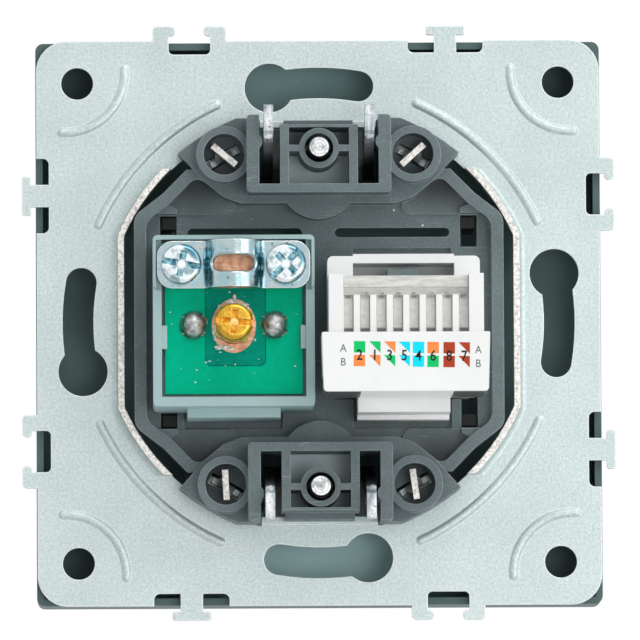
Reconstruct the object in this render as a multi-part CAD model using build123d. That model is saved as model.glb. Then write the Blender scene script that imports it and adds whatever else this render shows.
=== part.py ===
from build123d import *
import os
from math import cos, hypot, radians, sin

# TV and data socket for flush mounting, on a 71 mm steel frame.
# X runs to the left as seen from behind, Y runs back into the wall box and Z runs up.
# The origin is the middle of the steel frame, on its back face.
# Sizes are in millimetres and angles in degrees.

# General clearances
fit_gap = 0.2            # between moulded pieces that slide into each other
screw_gap = 0.15         # between a screw and a plain hole
thread_gap = 0.05        # between a screw and the hole that holds its thread

# Steel mounting frame
sheet = 0.8
keyhole_arc = 30.15      # radius on which the curved keyholes lie, for the screws of a 60 mm box
edge_land = 5.15         # from that radius to the edge at the sides
edge_extra = 0.2         # the frame reaches this much further at top and bottom
frame_wide = 2 * (keyhole_arc + edge_land)
frame_high = frame_wide + 2 * edge_extra
frame_corner = 3.8
corner_hole = 4.0        # diameter
corner_hole_at = keyhole_arc
keyhole_wide = 3.85
keyhole_head = 6.16      # diameter of the wide end
keyhole_head_at = 11.6   # angle from the middle line
keyhole_tail_at = 9.7    # angle on the other side
open_round = 26.6        # radius of the big opening
open_side = 24.35        # half its width, where the sides are straight
open_top = 25.45         # half its height, where top and bottom are straight
collar_high = 2.4        # the rim turned back round the opening
collar_end = 19.2        # the rim stops this high and low, beside the ears
lip_at = 24.45           # inner face of the low lips at top and bottom, from the middle
lip_high = 1.0
lip_half = 7.3
rim_bend = 0.6           # radius of the bend of the rims, on the front
rim_foot = 0.8           # radius of the hollow behind the bend
bead_wide = 1.2
bead_deep = 0.3
long_bead_arc = 30.2
long_bead_from = 24.8    # angles from the vertical
long_bead_to = 65.8
short_bead_arc = 7.5
short_bead_off_x = 1.55  # centre of the short beads, from that of the corner holes
short_bead_off_z = 1.35
short_bead_half = 48.0   # half its angle

# Interlocking tabs and hooks that join frames side by side
link_at = 16.05          # from the middle of each edge
tab_head_wide = 4.9
tab_head_high = 1.1
tab_out = 1.8
tab_neck = 2.8
tab_head_round = 0.385
scallop_wide = 9.4
scallop_deep = 1.55
scallop_round = 0.75
hook_wide = 9.2
hook_out = 1.85
hook_bar = 1.2
hook_mouth = 3.6
hook_root = 0.2          # how far a hook's leg reaches into the sheet
notch_wide = 5.2
notch_deep = 1.7
notch_round = 0.6

# Lugs that hold the carrier: bent up, passed through a slot and twisted
lug_arc = 23.77          # distance from the middle
lug_angle = 29.7         # from the vertical
lug_wide = 3.84          # of the foot and of the head
lug_neck = 2.2           # between the shoulders of foot and head
tongue_wide = 5.2
tongue_lap = 1.5         # how far the tongue reaches under the sheet beyond the opening
lug_steps = 5
lug_rise = 1.2           # height over which a lug is twisted
lug_tip = 1.6            # its head above the twist
lug_step = 1.1           # shoulder of the foot below the floor of the well
tip_angles = {(1, 1): 39.6, (-1, 1): -42.0, (1, -1): 87.0, (-1, -1): -98.0}

# Carrier moulding
side_gap = 1.25          # between the steel opening and the carrier's side walls
wall = 1.5
floor_front = -0.5
floor_back = 1.0
deck = 4.0               # level of the ears and the plateaus
wall_back = 3.3          # level of the side walls
side_straight = 13.2     # half length of the straight side walls
shoulder_x = 19.5        # corner of the slanted walls
shoulder_z = 15.95
neck_x = 16.5            # where the slanted walls meet the ears
neck_z = 19.0
wall_round = 2.0
ear_lap = 0.75           # how far the ears lie over the steel
ear_gap = 0.1            # between the flat of the opening and the ears
plateau_edge = 14.65     # inner edge of each plateau, from the middle
plateau_half = 9.7
plateau_bend_x = 11.9    # corners of its slanted edge
plateau_bend_z = 15.45
plateau_flare_x = 14.4
plateau_flare_z = 17.5
ear_tip_x = 18.2         # its slanted edge aims at this point, past the steel's edge
ear_tip_z = 21.7
bulge_round = 4.9
bulge_reach = 12.65
well_out = 3.5           # radii of the well rings
well_in = 2.57
well_top = 6.0
well_floor = 2.0
lug_slot_long = 4.5
lug_slot_wide = 1.45
window_wide = 2.07       # corner windows for the cover's snap fingers
window_high = 3.96
window_x = 18.8
window_z = 11.35
vent_long = 14.35        # long slots above the modules
vent_wide = 1.15
vent_from = 2.05
vent_z = 11.2
pad_from = 10.4          # raised pads in the corners of the floor
pad_z = 13.5
pad_round = 1.1
pad_high = 0.4
gusset_high = 1.4        # blocks between the corner windows and the slanted walls
gusset_deep = 1.0
gusset_in = 1.05         # how far they reach past the middle of the windows
pocket_half = 6.15       # pocket in the floor round the latches of each module
pocket_low = 13.4
pocket_top = 9.2
pocket_deep = 0.7

# Claw brackets on the carrier
bracket_half = 9.0
bracket_top = 8.5
bracket_inner = 15.6     # inner edge of the bracket, from the middle
bracket_wall = 1.1       # its inner edge wall
bracket_round = 0.5
cheek = 1.55             # outer walls beside the arm slots
rib_half = 3.75          # half the space between the two inner walls
rib = 1.1                # inner walls
thin_wall_in = 23.75     # thin wall that closes the middle space
thin_wall_out = 24.1
tab_half = 4.33          # tab of the deck between the arms, beyond the thin wall
tab_to = 25.05
middle_floor = 2.0       # floor of the middle space
boss_out = 2.5           # ring round the screw's end
boss_in = 1.78
boss_rib = 0.8
bump_z = 22.0
bump_round = 1.0
bump_out = 0.4
yoke_front = -5.6        # bridge that the claw screw's head rests on
yoke_thick = 1.2
yoke_from = 18.9
yoke_to = 23.4
yoke_side_from = 16.9
yoke_side_to = 24.9
yoke_side = 1.35

# Claws and their screws
claw_z = 21.15           # screw axis, from the middle
claw_y = -2.4            # axis on which a claw tilts
claw_sheet = 1.2
claw_half = 6.9
claw_arm = 13.0          # reach of an arm behind its axis
claw_open_top = 5.5      # how far each claw stands open as shown
claw_open_bottom = 0.0
claw_swing = 29.0        # from closed to fully open
web_half = 3.2
claw_heel = 1.3          # depth of the arm's inner end in front of the axis
claw_back = 2.6          # inner corner of the arm: distance from the axis and depth
claw_back_high = 1.8
claw_shin = 0.5          # outer edge of the arm's narrow part
claw_calf = 2.1
claw_knee = 2.6          # where the narrow part begins
claw_toe = 4.2           # how far out the hooked end reaches
claw_toe_high = 0.7
claw_throat = 3.6        # underside of the hooked end
claw_throat_high = 1.9
claw_bend_high = 3.4     # where the hooked end begins, below the tip
claw_top = 0.3           # inner edge of the arm near its end
claw_foot = 1.4          # outer end of the web's edge, and its height
screw_round = 1.5        # radius of every M3 screw
claw_head_round = 2.75
claw_head_high = 1.8
claw_screw_end = 10.0
tip_round = 1.22
cross_wide = 0.8
cross_deep = 0.9

# TV module
tv_x = 10.75
tv_z = -0.75             # middle of the housing
tv_wide = 20.1
tv_high = 21.3
tv_back = 12.5
tv_round = 0.6
saddle_block_z = 3.3     # the housing is deeper above this level
saddle_block_back = 13.0
saddle_bay_gap = 0.15    # between the saddle and the thin walls round it
plug_wide = 17.4         # front part of a module, passed through the floor
plug_high = 17.0
plug_front = -3.0
latch_wide = 11.6
latch_out = 1.15
latch_from = 2.0
latch_to = 9.0
board_wide = 17.1
board_low = -9.8
board_high_z = 8.95
board_front = 9.8
board = 1.2
ledge = 1.2              # on which the board rests
bay_gap = 0.4            # between the board and the walls round it
cavity_front = 2.5
catch_out = 0.65         # small catches over the board's side edges
catch_low = -4.2
catch_high = -1.3
catch_thick = 1.1
copper = 0.1

# Coax outlet and its terminal
coax_z = -1.2
shell_round = 4.76
shell_seat = 4.6         # radius of the part held in the housing
shell_step = 0.1         # from the shell's wide part to the housing
shell_wall = 0.5
shell_front = -9.3
shell_flange = 5.8
flange_thick = 1.0
earth_leg_at = 5.0
earth_leg = 0.9
insulator_front = 2.0
insulator_back = 6.0
pin_round = 1.19
pin_front = -8.3
post_round = 2.3
post_front = 6.5
post_back = 12.9
post_spare = 0.6         # depth of the threaded hole beyond the tightened screw
pad_wide = 5.5
pad_high = 6.7
pad_drop = 0.1
earth_pad = 1.75
solder_round = 1.5
solder_high = 1.2
washer_side = 4.1
washer_round = 0.5
washer_thick = 0.8
washer_turn = 11.0
washer_gap = 0.25        # between the screw and the hole of its washer
washer_drop = 0.15       # how far the loose washer hangs down
washer_lift = 1.5        # gap between post and washer, as shown
terminal_head_round = 2.3
terminal_head_high = 1.8
terminal_length = 5.5
slot_wide = 0.75
slot_deep = 0.9
head_edge = 0.63         # rounding of a head's rim
cross_share = 0.65       # reach of the cross in a head, as a share of its width
cross_extra = 0.18       # depth of the cross below the slot
terminal_slot_turn = 5.0

# Cable saddle
saddle_z = 6.2
saddle_wide = 19.0
saddle_high = 5.9
saddle_sheet = 0.9
saddle_round = 1.9
arch_round = 3.4         # outside radius of the arch
arch_foot = 0.6
arch_lift = 0.5          # centre of the arch above the saddle's underside
saddle_window_wide = 4.9
saddle_window_high = 2.0
saddle_window_edge = 0.3
saddle_screw_at = 6.48
saddle_head_round = 2.5
saddle_head_high = 1.8
saddle_screw_long = 5.4
saddle_turns = {"left": 10.0, "right": 45.0}
earth_plate_wide = 16.6
earth_plate_high = 5.6
earth_plate_thick = 1.0

# Data jack
jack_x = -10.43
adapter_wide = 19.0
adapter_top = 7.5
adapter_low = -9.6
adapter_back = 9.5
adapter_round = 0.7
adapter_lip = 0.25
adapter_lip_deep = 1.0
jack_wide = 14.6
jack_top = 4.7
jack_low = -8.9
jack_front = -9.3
jack_board_thick = 1.2
recess_wide = 12.6
recess_top = 6.6
recess_deep = 5.5
hook_lug_wide = 4.0
jack_latch_wide = 11.5
jack_latch_low = -11.95
jack_lip_low = -12.55
jack_latch_back = 9.0
jack_lip_back = 4.0
port_wide = 11.8
port_top = 3.1
port_low = -3.9
port_deep = 13.0
key_wide = 6.2
key_deep = 1.7
key_tip_wide = 3.3
key_tip_deep = 1.5
contact_pitch = 1.02
contact_wide = 0.4
contact_dip = 1.1
contact_front = 2.5      # from the front of the jack to the bend of the contacts
contact_long = 6.0
contact_tip = 0.5
contact_root = 2.2
contact_gap = 0.1        # below the top of the port
contact_well = 2.0       # height of the space behind the port for the contacts
jack_board_gap = 0.3     # between the small board and the adapter's opening

# Rear block, wire comb and insulation-piercing contacts of the jack
block_wide = 20.8
block_top = -2.8
block_low = -10.16
block_back = 20.0
block_draft = 0.2        # its sides lean in by this much at the bottom
block_round = 0.5        # its lower corners
block_chamfer = 0.12     # its upper corners
base_back = 12.5
pillar_out = 19.2        # width over the two pillars
pillar = 1.85
pillar_top = 4.6
pillar_back = 18.0
wire_x = -10.54          # middle of the wire slots
wire_pitch = 2.04
wire_slot = 1.24
finger_top = 2.0
finger_back = 17.5
comb_top = 4.4
comb_bar_low = 3.0
comb_bar_back = 17.0
comb_strip_back = 16.2
comb_tooth_back = 15.8
comb_tooth_front = 13.6
comb_gap = 0.05
comb_tooth_end = 0.25    # between the teeth's ends and the label part
idc_thick = 0.4
idc_high = 3.0
idc_slit = 0.5
idc_slit_deep = 1.0      # how far the slit goes on in front of the comb
idc_end_gap = 0.3        # between the blades' ends and the comb

# Front cover
cover_over = 0.1         # it reaches this far past the frame at the sides
cover_under = 0.15       # and ends this far inside it at top and bottom
cover_wide = frame_wide + 2 * cover_over
cover_high = frame_high - 2 * cover_under
cover_front = -9.8
cover_plate = 1.8
cover_skirt = 0.9
cover_corner = 1.0
cover_edge = 1.0
cover_stand_off = 0.5    # between the steel and the cover's rim
coax_hole = 6.75
port_gap = 0.35
finger_z = 12.4
finger_thick = 1.2
finger_wide = 1.5
finger_off = 0.175       # from the middle of the window
finger_end = 0.9
rib_gap = 0.05           # between a finger's grip rib and the edge of its window
rib_long = 1.2


def slab(face, front, back):
    """A face drawn in X and Z, made solid between two Y levels."""
    return Pos(0, back, 0) * extrude(Plane.XZ * face, back - front)


def block(x_low, x_high, front, back, z_low, z_high):
    """A plain box between its limits."""
    size = Box(x_high - x_low, back - front, z_high - z_low)
    return Pos((x_low + x_high) / 2, (front + back) / 2, (z_low + z_high) / 2) * size


def rod(x, z, radius, front, back):
    """A round bar along Y."""
    return slab(Pos(x, z) * Circle(radius), front, back)


def mirrored_four(points):
    """The corners of one quadrant, repeated in all four, in order round the middle."""
    right = points + [(x, -z) for x, z in reversed(points)]
    return right + [(-x, -z) for x, z in points] + [(-x, z) for x, z in reversed(points)]


def outline(points):
    """A closed face through corner points."""
    return make_face(Polyline(*points, close=True))


# Mounting frame

def keyhole():
    """One curved keyhole, as it lies at the top of the frame."""
    middle = 90 + (keyhole_tail_at - keyhole_head_at) / 2
    span = keyhole_head_at + keyhole_tail_at
    curve = CenterArc((0, 0), keyhole_arc, middle - span / 2, span)
    head_angle = radians(90 - keyhole_head_at)
    head = Pos(keyhole_arc * cos(head_angle), keyhole_arc * sin(head_angle)) * Circle(keyhole_head / 2)
    return SlotArc(curve, keyhole_wide) + head


def link_cuts(edge):
    """Notch for a neighbour's tab and scallops for its hooks, on an edge at this height."""
    notch_high = notch_deep + hook_out - hook_bar
    notch = Pos(link_at, edge - notch_deep + notch_high / 2)
    notch_face = notch * RectangleRounded(notch_wide, notch_high, notch_round)
    scallop = Pos(-link_at, edge) * RectangleRounded(scallop_wide, 2 * scallop_deep, scallop_round)
    return notch_face + scallop


def link_tab(edge):
    """The tab with its neck, in the middle of the scallops."""
    neck_high = scallop_deep + tab_out - tab_head_high / 2
    neck = Pos(-link_at, edge - scallop_deep + neck_high / 2) * Rectangle(tab_neck, neck_high)
    head = Pos(-link_at, edge + tab_out - tab_head_high / 2)
    return neck + head * RectangleRounded(tab_head_wide, tab_head_high, tab_head_round)


def link_hooks(edge):
    """Two hooks that curl towards each other over the notch."""
    hooks = Sketch()
    arm = (hook_wide - hook_mouth) / 2
    leg_wide = (hook_wide - notch_wide) / 2
    bar_level = hook_out - hook_bar / 2
    for side in (1, -1):
        bar = Pos(link_at + side * (hook_mouth + arm) / 2, edge + bar_level)
        hooks += bar * SlotOverall(arm, hook_bar)
        leg_x = link_at + side * (notch_wide + leg_wide) / 2
        leg_high = bar_level + hook_root
        hooks += Pos(leg_x, edge + bar_level - leg_high / 2) * Rectangle(leg_wide, leg_high)
    return hooks


def opening_face(grow=0.0):
    """The big opening of the frame, or one that is larger all round."""
    return Circle(open_round + grow) & Rectangle(2 * (open_side + grow), 2 * (open_top + grow))


def lip_faces(start, end):
    """Two strips at top and bottom, between two distances from the middle."""
    return Rectangle(2 * lip_half, 2 * end) - Rectangle(2 * lip_half, 2 * start)


def on_opening(edge):
    """Whether an edge lies on the inner face of a rim."""
    middle = edge @ 0.5
    along_side = abs(abs(middle.X) - open_side) < 0.01
    along_lip = abs(abs(middle.Z) - lip_at) < 0.01
    return along_side or along_lip or abs(hypot(middle.X, middle.Z) - open_round) < 0.01


def collar_foot():
    """The hollow of the bend, where the collar rises from the sheet."""
    ring = opening_face(sheet + rim_foot) - opening_face(sheet)
    part = slab(ring & Rectangle(frame_wide, 2 * collar_end), 0, rim_foot)
    hollows = [Pos(0, rim_foot, 0) * Rot(90, 0, 0) * Torus(open_round + sheet + rim_foot, rim_foot)]
    for side in (1, -1):
        place = Pos(side * (open_side + sheet + rim_foot), rim_foot, 0)
        hollows.append(place * Cylinder(rim_foot, 2 * collar_end))
    return part - hollows


def rim(face, high):
    """A stretch of rim, turned back from the sheet and rounded at its bend."""
    part = slab(face, -sheet, high)
    front = part.edges().group_by(Axis.Y)[0]
    return fillet(front.filter_by(on_opening), rim_bend)


def bead_places():
    """Centre, radius, start and span of the long beads and of those at the corner holes."""
    long_span = long_bead_to - long_bead_from
    places = []
    for quarter in range(4):
        places.append((0, 0, long_bead_arc, 90 * quarter + 90 - long_bead_to, long_span))
        side, level = [(1, 1), (-1, 1), (-1, -1), (1, -1)][quarter]
        start = 90 * quarter + 225 - short_bead_half
        centre_x = side * (corner_hole_at + short_bead_off_x)
        centre_z = level * (corner_hole_at + short_bead_off_z)
        places.append((centre_x, centre_z, short_bead_arc, start, 2 * short_bead_half))
    return places


def beads(level):
    """Half-round beads with domed ends, as they stand on a level."""
    ball = (bead_wide ** 2 / 4 + bead_deep ** 2) / (2 * bead_deep)
    middle = level + bead_deep - ball
    above = Pos(0, level + ball) * Rectangle(2 * ball, 2 * ball)
    section = (Pos(0, middle) * Circle(ball)) & above
    cap = (Pos(0, middle, 0) * Sphere(ball)) & block(-ball, ball, level, level + ball, -ball, ball)
    turning = Axis((0, 0, 0), (0, -1, 0))
    solids = []
    for x, z, arc, start, span in bead_places():
        bar = revolve(Pos(arc, 0) * section, turning, span).rotate(turning, start)
        solids.append(Pos(x, 0, z) * bar)
        for angle in (radians(start), radians(start + span)):
            solids.append(Pos(x + arc * cos(angle), 0, z + arc * sin(angle)) * cap)
    return solids


def lug_place(side, level):
    """Where a lug stands: centre and direction of its slot."""
    angle = radians(lug_angle)
    turn = -side * level * lug_angle
    return Pos(side * lug_arc * sin(angle), level * lug_arc * cos(angle)), turn


def lug(side, level):
    """A lug with its tongue, bent up from the sheet and twisted at its end."""
    place, turn = lug_place(side, level)
    tongue_long = open_round + tongue_lap - lug_arc + sheet / 2
    outward = level * (tongue_long - sheet) / 2
    tongue = place * Rot(0, 0, turn) * Pos(0, outward) * Rectangle(tongue_wide, tongue_long)
    foot_top = well_floor - lug_step
    foot = slab(place * Rot(0, 0, turn) * Rectangle(lug_wide, sheet), -sheet, foot_top)
    neck = slab(place * Rot(0, 0, turn) * Rectangle(lug_neck, sheet), foot_top, well_floor)
    twist = tip_angles[(side, level)] - turn
    sections = []
    for step in range(lug_steps + 1):
        share = step / lug_steps
        level_y = well_floor + lug_rise * share
        face = place * Rot(0, 0, turn + twist * share) * Rectangle(lug_neck, sheet)
        sections.append(Pos(0, level_y, 0) * (Plane.XZ * face))
    twisted = loft(sections, ruled=True)
    tip_face = place * Rot(0, 0, tip_angles[(side, level)]) * Rectangle(lug_wide, sheet)
    tip = slab(tip_face, well_floor + lug_rise, well_floor + lug_rise + lug_tip)
    return slab(tongue, -sheet, 0) + foot + neck + twisted + tip


def mounting_frame():
    """The stamped frame: outline, links, holes, rims, beads and lugs."""
    outside = lip_faces(lip_at + sheet, frame_high)
    collar = (opening_face(sheet) - opening_face()) & Rectangle(frame_wide, 2 * collar_end)
    cuts = [opening_face() - outside, collar]
    adds = []
    for turn in range(4):
        edge = (frame_high if turn % 2 == 0 else frame_wide) / 2
        around = Rot(0, 0, -90 * turn)
        cuts += [around * link_cuts(edge), around * keyhole()]
        adds += [around * link_tab(edge), around * link_hooks(edge)]
    for x in (corner_hole_at, -corner_hole_at):
        cuts += [Pos(x, z) * Circle(corner_hole / 2) for z in (corner_hole_at, -corner_hole_at)]
    face = RectangleRounded(frame_wide, frame_high, frame_corner) - cuts + adds
    rims = [rim(collar, collar_high), rim(lip_faces(lip_at, lip_at + sheet), lip_high)]
    lugs = [lug(side, level) for side in (1, -1) for level in (1, -1)]
    return slab(face, -sheet, 0) - beads(-sheet) + (rims + [collar_foot()] + beads(0) + lugs)


# Carrier

def carrier_outline():
    """Outer and inner faces of the carrier's wall."""
    outer_x = open_side - side_gap
    corners = [(neck_x, neck_z), (shoulder_x, shoulder_z), (outer_x, side_straight)]
    outer = outline(mirrored_four(corners))
    inner = offset(outer, -wall, kind=Kind.INTERSECTION)
    inner = fillet(inner.vertices().group_by(lambda v: abs(v.X))[-1], wall_round)
    outer = fillet(outer.vertices().group_by(lambda v: abs(v.X))[-1], wall_round)
    return outer, inner


def plateau_face():
    """Ears and plateau at the top of the carrier; the bottom has its mirror image."""
    half_high = open_top - ear_gap
    disc = Circle(open_round + ear_lap) & Rectangle(frame_wide, 2 * half_high)
    right = [
        (plateau_half, plateau_edge),
        (plateau_bend_x, plateau_bend_z),
        (plateau_flare_x, plateau_flare_z),
        (ear_tip_x, ear_tip_z),
        (ear_tip_x, open_round + ear_lap),
    ]
    wedge = outline(right + [(-x, z) for x, z in reversed(right)])
    bulge = Pos(0, bulge_reach + bulge_round) * Circle(bulge_round)
    return (disc & wedge) + bulge


def end_solids():
    """Plateau, wells and claw bracket, as they stand at the top of the carrier."""
    half_high = open_top - ear_gap
    arm_slot = bracket_half - cheek
    solids = [slab(plateau_face(), 0, deck)]
    for side in (1, -1):
        place, turn = lug_place(side, 1)
        solids.append(slab(place * Circle(well_out), 0, well_top))
    rim_high = half_high - bracket_inner
    rim = Pos(0, bracket_inner + rim_high / 2) * RectangleRounded(2 * bracket_half, rim_high, bracket_round)
    inside_low = bracket_inner + bracket_wall
    inside_high = half_high - inside_low
    inside = Pos(0, inside_low + inside_high / 2 + 1) * Rectangle(2 * arm_slot, inside_high + 2)
    solids.append(slab(rim - inside, 0, bracket_top))
    for side in (1, -1):
        bump_x = side * (arm_slot - bump_out + bump_round)
        solids.append(rod(bump_x, bump_z, bump_round, 0, bracket_top))
    yoke_half = arm_slot + yoke_side
    solids.append(block(-yoke_half, -arm_slot, yoke_front, 0, yoke_side_from, yoke_side_to))
    solids.append(block(arm_slot, yoke_half, yoke_front, 0, yoke_side_from, yoke_side_to))
    yoke_back = yoke_front + yoke_thick
    solids.append(block(-yoke_half, yoke_half, yoke_front, yoke_back, yoke_from, yoke_to))
    return solids


def end_cuts():
    """Arm slots, middle space and wells, cut through the top end of the carrier."""
    arm_slot = bracket_half - cheek
    slot_from = rib_half + rib
    inside_low = bracket_inner + bracket_wall
    cuts = []
    for side in (1, -1):
        slot_x = side * (slot_from + arm_slot) / 2
        slot_high = open_top + 2 - inside_low
        slot = Pos(slot_x, inside_low + slot_high / 2) * Rectangle(arm_slot - slot_from, slot_high)
        bump = Pos(side * (arm_slot - bump_out + bump_round), bump_z) * Circle(bump_round)
        cuts.append(slab(slot - bump, floor_front, bracket_top))
        place, turn = lug_place(side, 1)
        cuts.append(slab(place * Circle(well_in), well_floor, well_top))
        lug_slot = place * Rot(0, 0, turn) * Rectangle(lug_slot_long, lug_slot_wide)
        cuts.append(slab(lug_slot, floor_front, well_floor))
    cuts.append(block(-rib_half, rib_half, middle_floor, bracket_top, inside_low, thin_wall_in))
    cuts.append(block(-arm_slot, -tab_half, floor_front, deck, thin_wall_out, frame_high / 2))
    cuts.append(block(tab_half, arm_slot, floor_front, deck, thin_wall_out, frame_high / 2))
    cuts.append(block(-arm_slot, arm_slot, floor_front, deck, tab_to, frame_high / 2))
    over_lip = lip_half + fit_gap
    cuts.append(block(-over_lip, over_lip, 0, lip_high + fit_gap, lip_at - fit_gap, frame_high / 2))
    return cuts


def end_inner_walls():
    """Inner walls, ribs and the ring round the screw's end."""
    inside_low = bracket_inner + bracket_wall
    wall_long = thin_wall_out - inside_low
    rib_long = rib_half - boss_in
    walls = Pos(0, claw_z) * Circle(boss_out)
    for side in (1, -1):
        walls += Pos(side * (rib_half + rib / 2), inside_low + wall_long / 2) * Rectangle(rib, wall_long)
        walls += Pos(side * (boss_in + rib_long / 2), claw_z) * Rectangle(rib_long, boss_rib)
    thin = thin_wall_out - thin_wall_in
    walls += Pos(0, thin_wall_in + thin / 2) * Rectangle(2 * rib_half, thin)
    return slab(walls, middle_floor, bracket_top)


def screw_hole():
    """Hole for the claw screw: a close fit in the yoke, open in the ring."""
    ring = rod(0, claw_z, boss_in, floor_front, bracket_top)
    return [ring, rod(0, claw_z, screw_round + thread_gap, yoke_front, yoke_front + yoke_thick)]


def both_ends(solids):
    """Solids of the top end, with their mirror images at the bottom."""
    return solids + [mirror(solid, Plane.XY) for solid in solids]


def module_plug(x, z, grow=0.0):
    """Outline of the front part of a module where it passes through the floor."""
    return Pos(x, z) * RectangleRounded(plug_wide + 2 * grow, plug_high + 2 * grow, tv_round + grow)


def carrier():
    """Floor, walls, end pieces and the openings for the modules."""
    outer, inner = carrier_outline()
    middle = Rectangle(frame_wide, 2 * shoulder_z)
    beside = outer - Rectangle(2 * bracket_half, frame_high)
    solids = [
        slab(beside, 0, floor_back),
        slab(beside - inner, 0, wall_back),
    ]
    for side in (1, -1):
        solids += both_ends(corner_blocks(outer, side))
    part = slab(outer & middle, floor_front, floor_back) + solids + both_ends(end_solids())
    cuts = both_ends(end_cuts())
    for x in (tv_x, jack_x):
        cuts.append(slab(module_plug(x, module_z(x), fit_gap), floor_front, floor_back))
        pocket = (x - pocket_half, x + pocket_half, floor_back - pocket_deep, floor_back)
        cuts.append(block(*pocket, -pocket_low, pocket_top))
    for side in (1, -1):
        vent = Pos(side * (vent_from + vent_long / 2), vent_z) * SlotOverall(vent_long, vent_wide)
        cuts.append(slab(vent, floor_front, floor_back))
        for level in (1, -1):
            window = Pos(side * window_x, level * window_z) * Rectangle(window_wide, window_high)
            cuts.append(slab(window, floor_front, floor_back))
    return part - cuts + both_ends([end_inner_walls()]) - both_ends(screw_hole())


def corner_blocks(outer, side):
    """Raised pad and gusset in one upper corner of the floor."""
    far_x = open_side
    pad_wide = far_x - pad_from
    pad_tall = neck_z - pad_z
    place = Pos(side * (pad_from + pad_wide / 2), pad_z + pad_tall / 2)
    pad = outer & (place * RectangleRounded(pad_wide, pad_tall, pad_round))
    gusset_x = window_x - gusset_in
    gusset = Pos(side * (gusset_x + far_x) / 2, pad_z + gusset_deep / 2)
    block_face = outer & (gusset * Rectangle(far_x - gusset_x, gusset_deep))
    return [
        slab(pad, floor_front, floor_back + pad_high),
        slab(block_face, floor_front, floor_back + gusset_high),
    ]


def module_z(x):
    """Height of the middle of a module."""
    return tv_z if x == tv_x else (adapter_top + adapter_low) / 2


# Claws

def claw():
    """The top claw, closed: a web with a slot for the screw, and two arms with hooked ends."""
    tilt = claw_swing / 2
    profile = [
        (-web_half, -claw_heel),
        (-claw_back, claw_back_high),
        (claw_top, claw_arm - 2 * claw_toe_high),
        (3 * claw_top, claw_arm - claw_toe_high),
        (claw_toe - claw_top, claw_arm),
        (claw_toe, claw_arm - claw_toe_high),
        (claw_throat, claw_arm - claw_throat_high),
        (claw_calf, claw_arm - claw_bend_high),
        (claw_shin, claw_knee),
        (web_half - claw_top, claw_foot),
        (web_half, claw_foot - claw_sheet),
    ]
    points = [(0, claw_y + y, claw_z + z) for z, y in profile]
    side_face = make_face(Polyline(*points, close=True))
    arm = extrude(side_face, claw_sheet, dir=(1, 0, 0))
    arms = Pos(claw_half - claw_sheet, 0, 0) * arm + Pos(-claw_half, 0, 0) * arm
    half_long = (screw_round + screw_gap + claw_sheet / 2 * sin(radians(tilt))) / cos(radians(tilt))
    slot_long = 2 * (half_long + screw_gap)
    slot_across = 2 * (screw_round + screw_gap)
    web_face = Rectangle(2 * claw_half, 2 * web_half) - Rot(0, 0, 90) * SlotOverall(slot_long, slot_across)
    web = slab(web_face, -claw_sheet / 2, claw_sheet / 2)
    web = Pos(0, claw_y, claw_z) * Rot(-tilt, 0, 0) * web
    return arms + web


def placed_claw(name):
    """A claw at the angle at which it stands, at the top or the bottom."""
    opened = claw_open_top if name == "top" else claw_open_bottom
    hinge = Axis((0, claw_y, claw_z), (1, 0, 0))
    part = claw().rotate(hinge, opened)
    return part if name == "top" else mirror(part, Plane.XY)


def cross_cut(x, z, level, long, deep, turn=0.0, into=1):
    """A cross recess in a head, cut from a level towards +Y or -Y."""
    bars = Rectangle(long, cross_wide) + Rectangle(cross_wide, long)
    face = Pos(x, z) * Rot(0, 0, turn) * bars
    return slab(face, min(level, level + into * deep), max(level, level + into * deep))


def claw_screw(level):
    """M3 screw with its head at the front and a turned-down tip at the back."""
    z = level * claw_z
    head_front = yoke_front - claw_head_high
    tip_long = screw_round - tip_round
    part = rod(0, z, screw_round, yoke_front, claw_screw_end - tip_long)
    tip = Pos(0, claw_screw_end - tip_long / 2, z) * Rot(-90, 0, 0)
    part += tip * Cone(screw_round, tip_round, tip_long)
    part += rod(0, z, claw_head_round, head_front, yoke_front)
    part -= cross_cut(0, z, head_front, 2 * claw_head_round - 2 * cross_wide, cross_deep)
    return part


# TV module

def tv_housing():
    """Open tray with a ledge for the board, a plug through the floor and a latch below."""
    body = Pos(tv_x, tv_z) * RectangleRounded(tv_wide, tv_high, tv_round)
    part = slab(body, floor_back, tv_back)
    top_high = tv_z + tv_high / 2 - saddle_block_z
    top = Pos(tv_x, saddle_block_z + top_high / 2) * RectangleRounded(tv_wide, top_high, tv_round)
    part += slab(top, floor_back, saddle_block_back)
    part += slab(module_plug(tv_x, tv_z), plug_front, floor_back)
    board_high = board_high_z - board_low
    pocket = Pos(tv_x, (board_high_z + board_low) / 2)
    bay = pocket * Rectangle(board_wide + 2 * bay_gap, board_high + 2 * bay_gap)
    part -= slab(bay, board_front, saddle_block_back)
    saddle_bay = Rectangle(saddle_wide + 2 * saddle_bay_gap, saddle_high + 2 * saddle_bay_gap)
    part -= slab(Pos(tv_x, saddle_z) * saddle_bay, saddle_seat() - fit_gap, saddle_block_back)
    cavity = pocket * Rectangle(board_wide - 2 * ledge, board_high - 2 * ledge)
    part -= slab(cavity, cavity_front, board_front)
    part -= rod(tv_x, coax_z, shell_seat + thread_gap, plug_front, cavity_front)
    screw_deep = saddle_screw_long - (saddle_seat() + saddle_sheet - board_front) + screw_gap
    edge = board_wide / 2 + bay_gap
    back = board_front + board + thread_gap
    catches = []
    for side in (1, -1):
        x = tv_x + side * saddle_screw_at
        part -= rod(x, saddle_z, screw_round + screw_gap, board_front - screw_deep, board_front)
        catch = Pos(tv_x + side * (edge - catch_out / 2), (catch_low + catch_high) / 2)
        face = catch * Rectangle(catch_out, catch_high - catch_low)
        catches.append(slab(face, back, back + catch_thick))
    low = tv_z - tv_high / 2
    half = latch_wide / 2
    latch = block(tv_x - half, tv_x + half, latch_from, latch_to, low - latch_out, low)
    return part + (catches + [latch])


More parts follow.
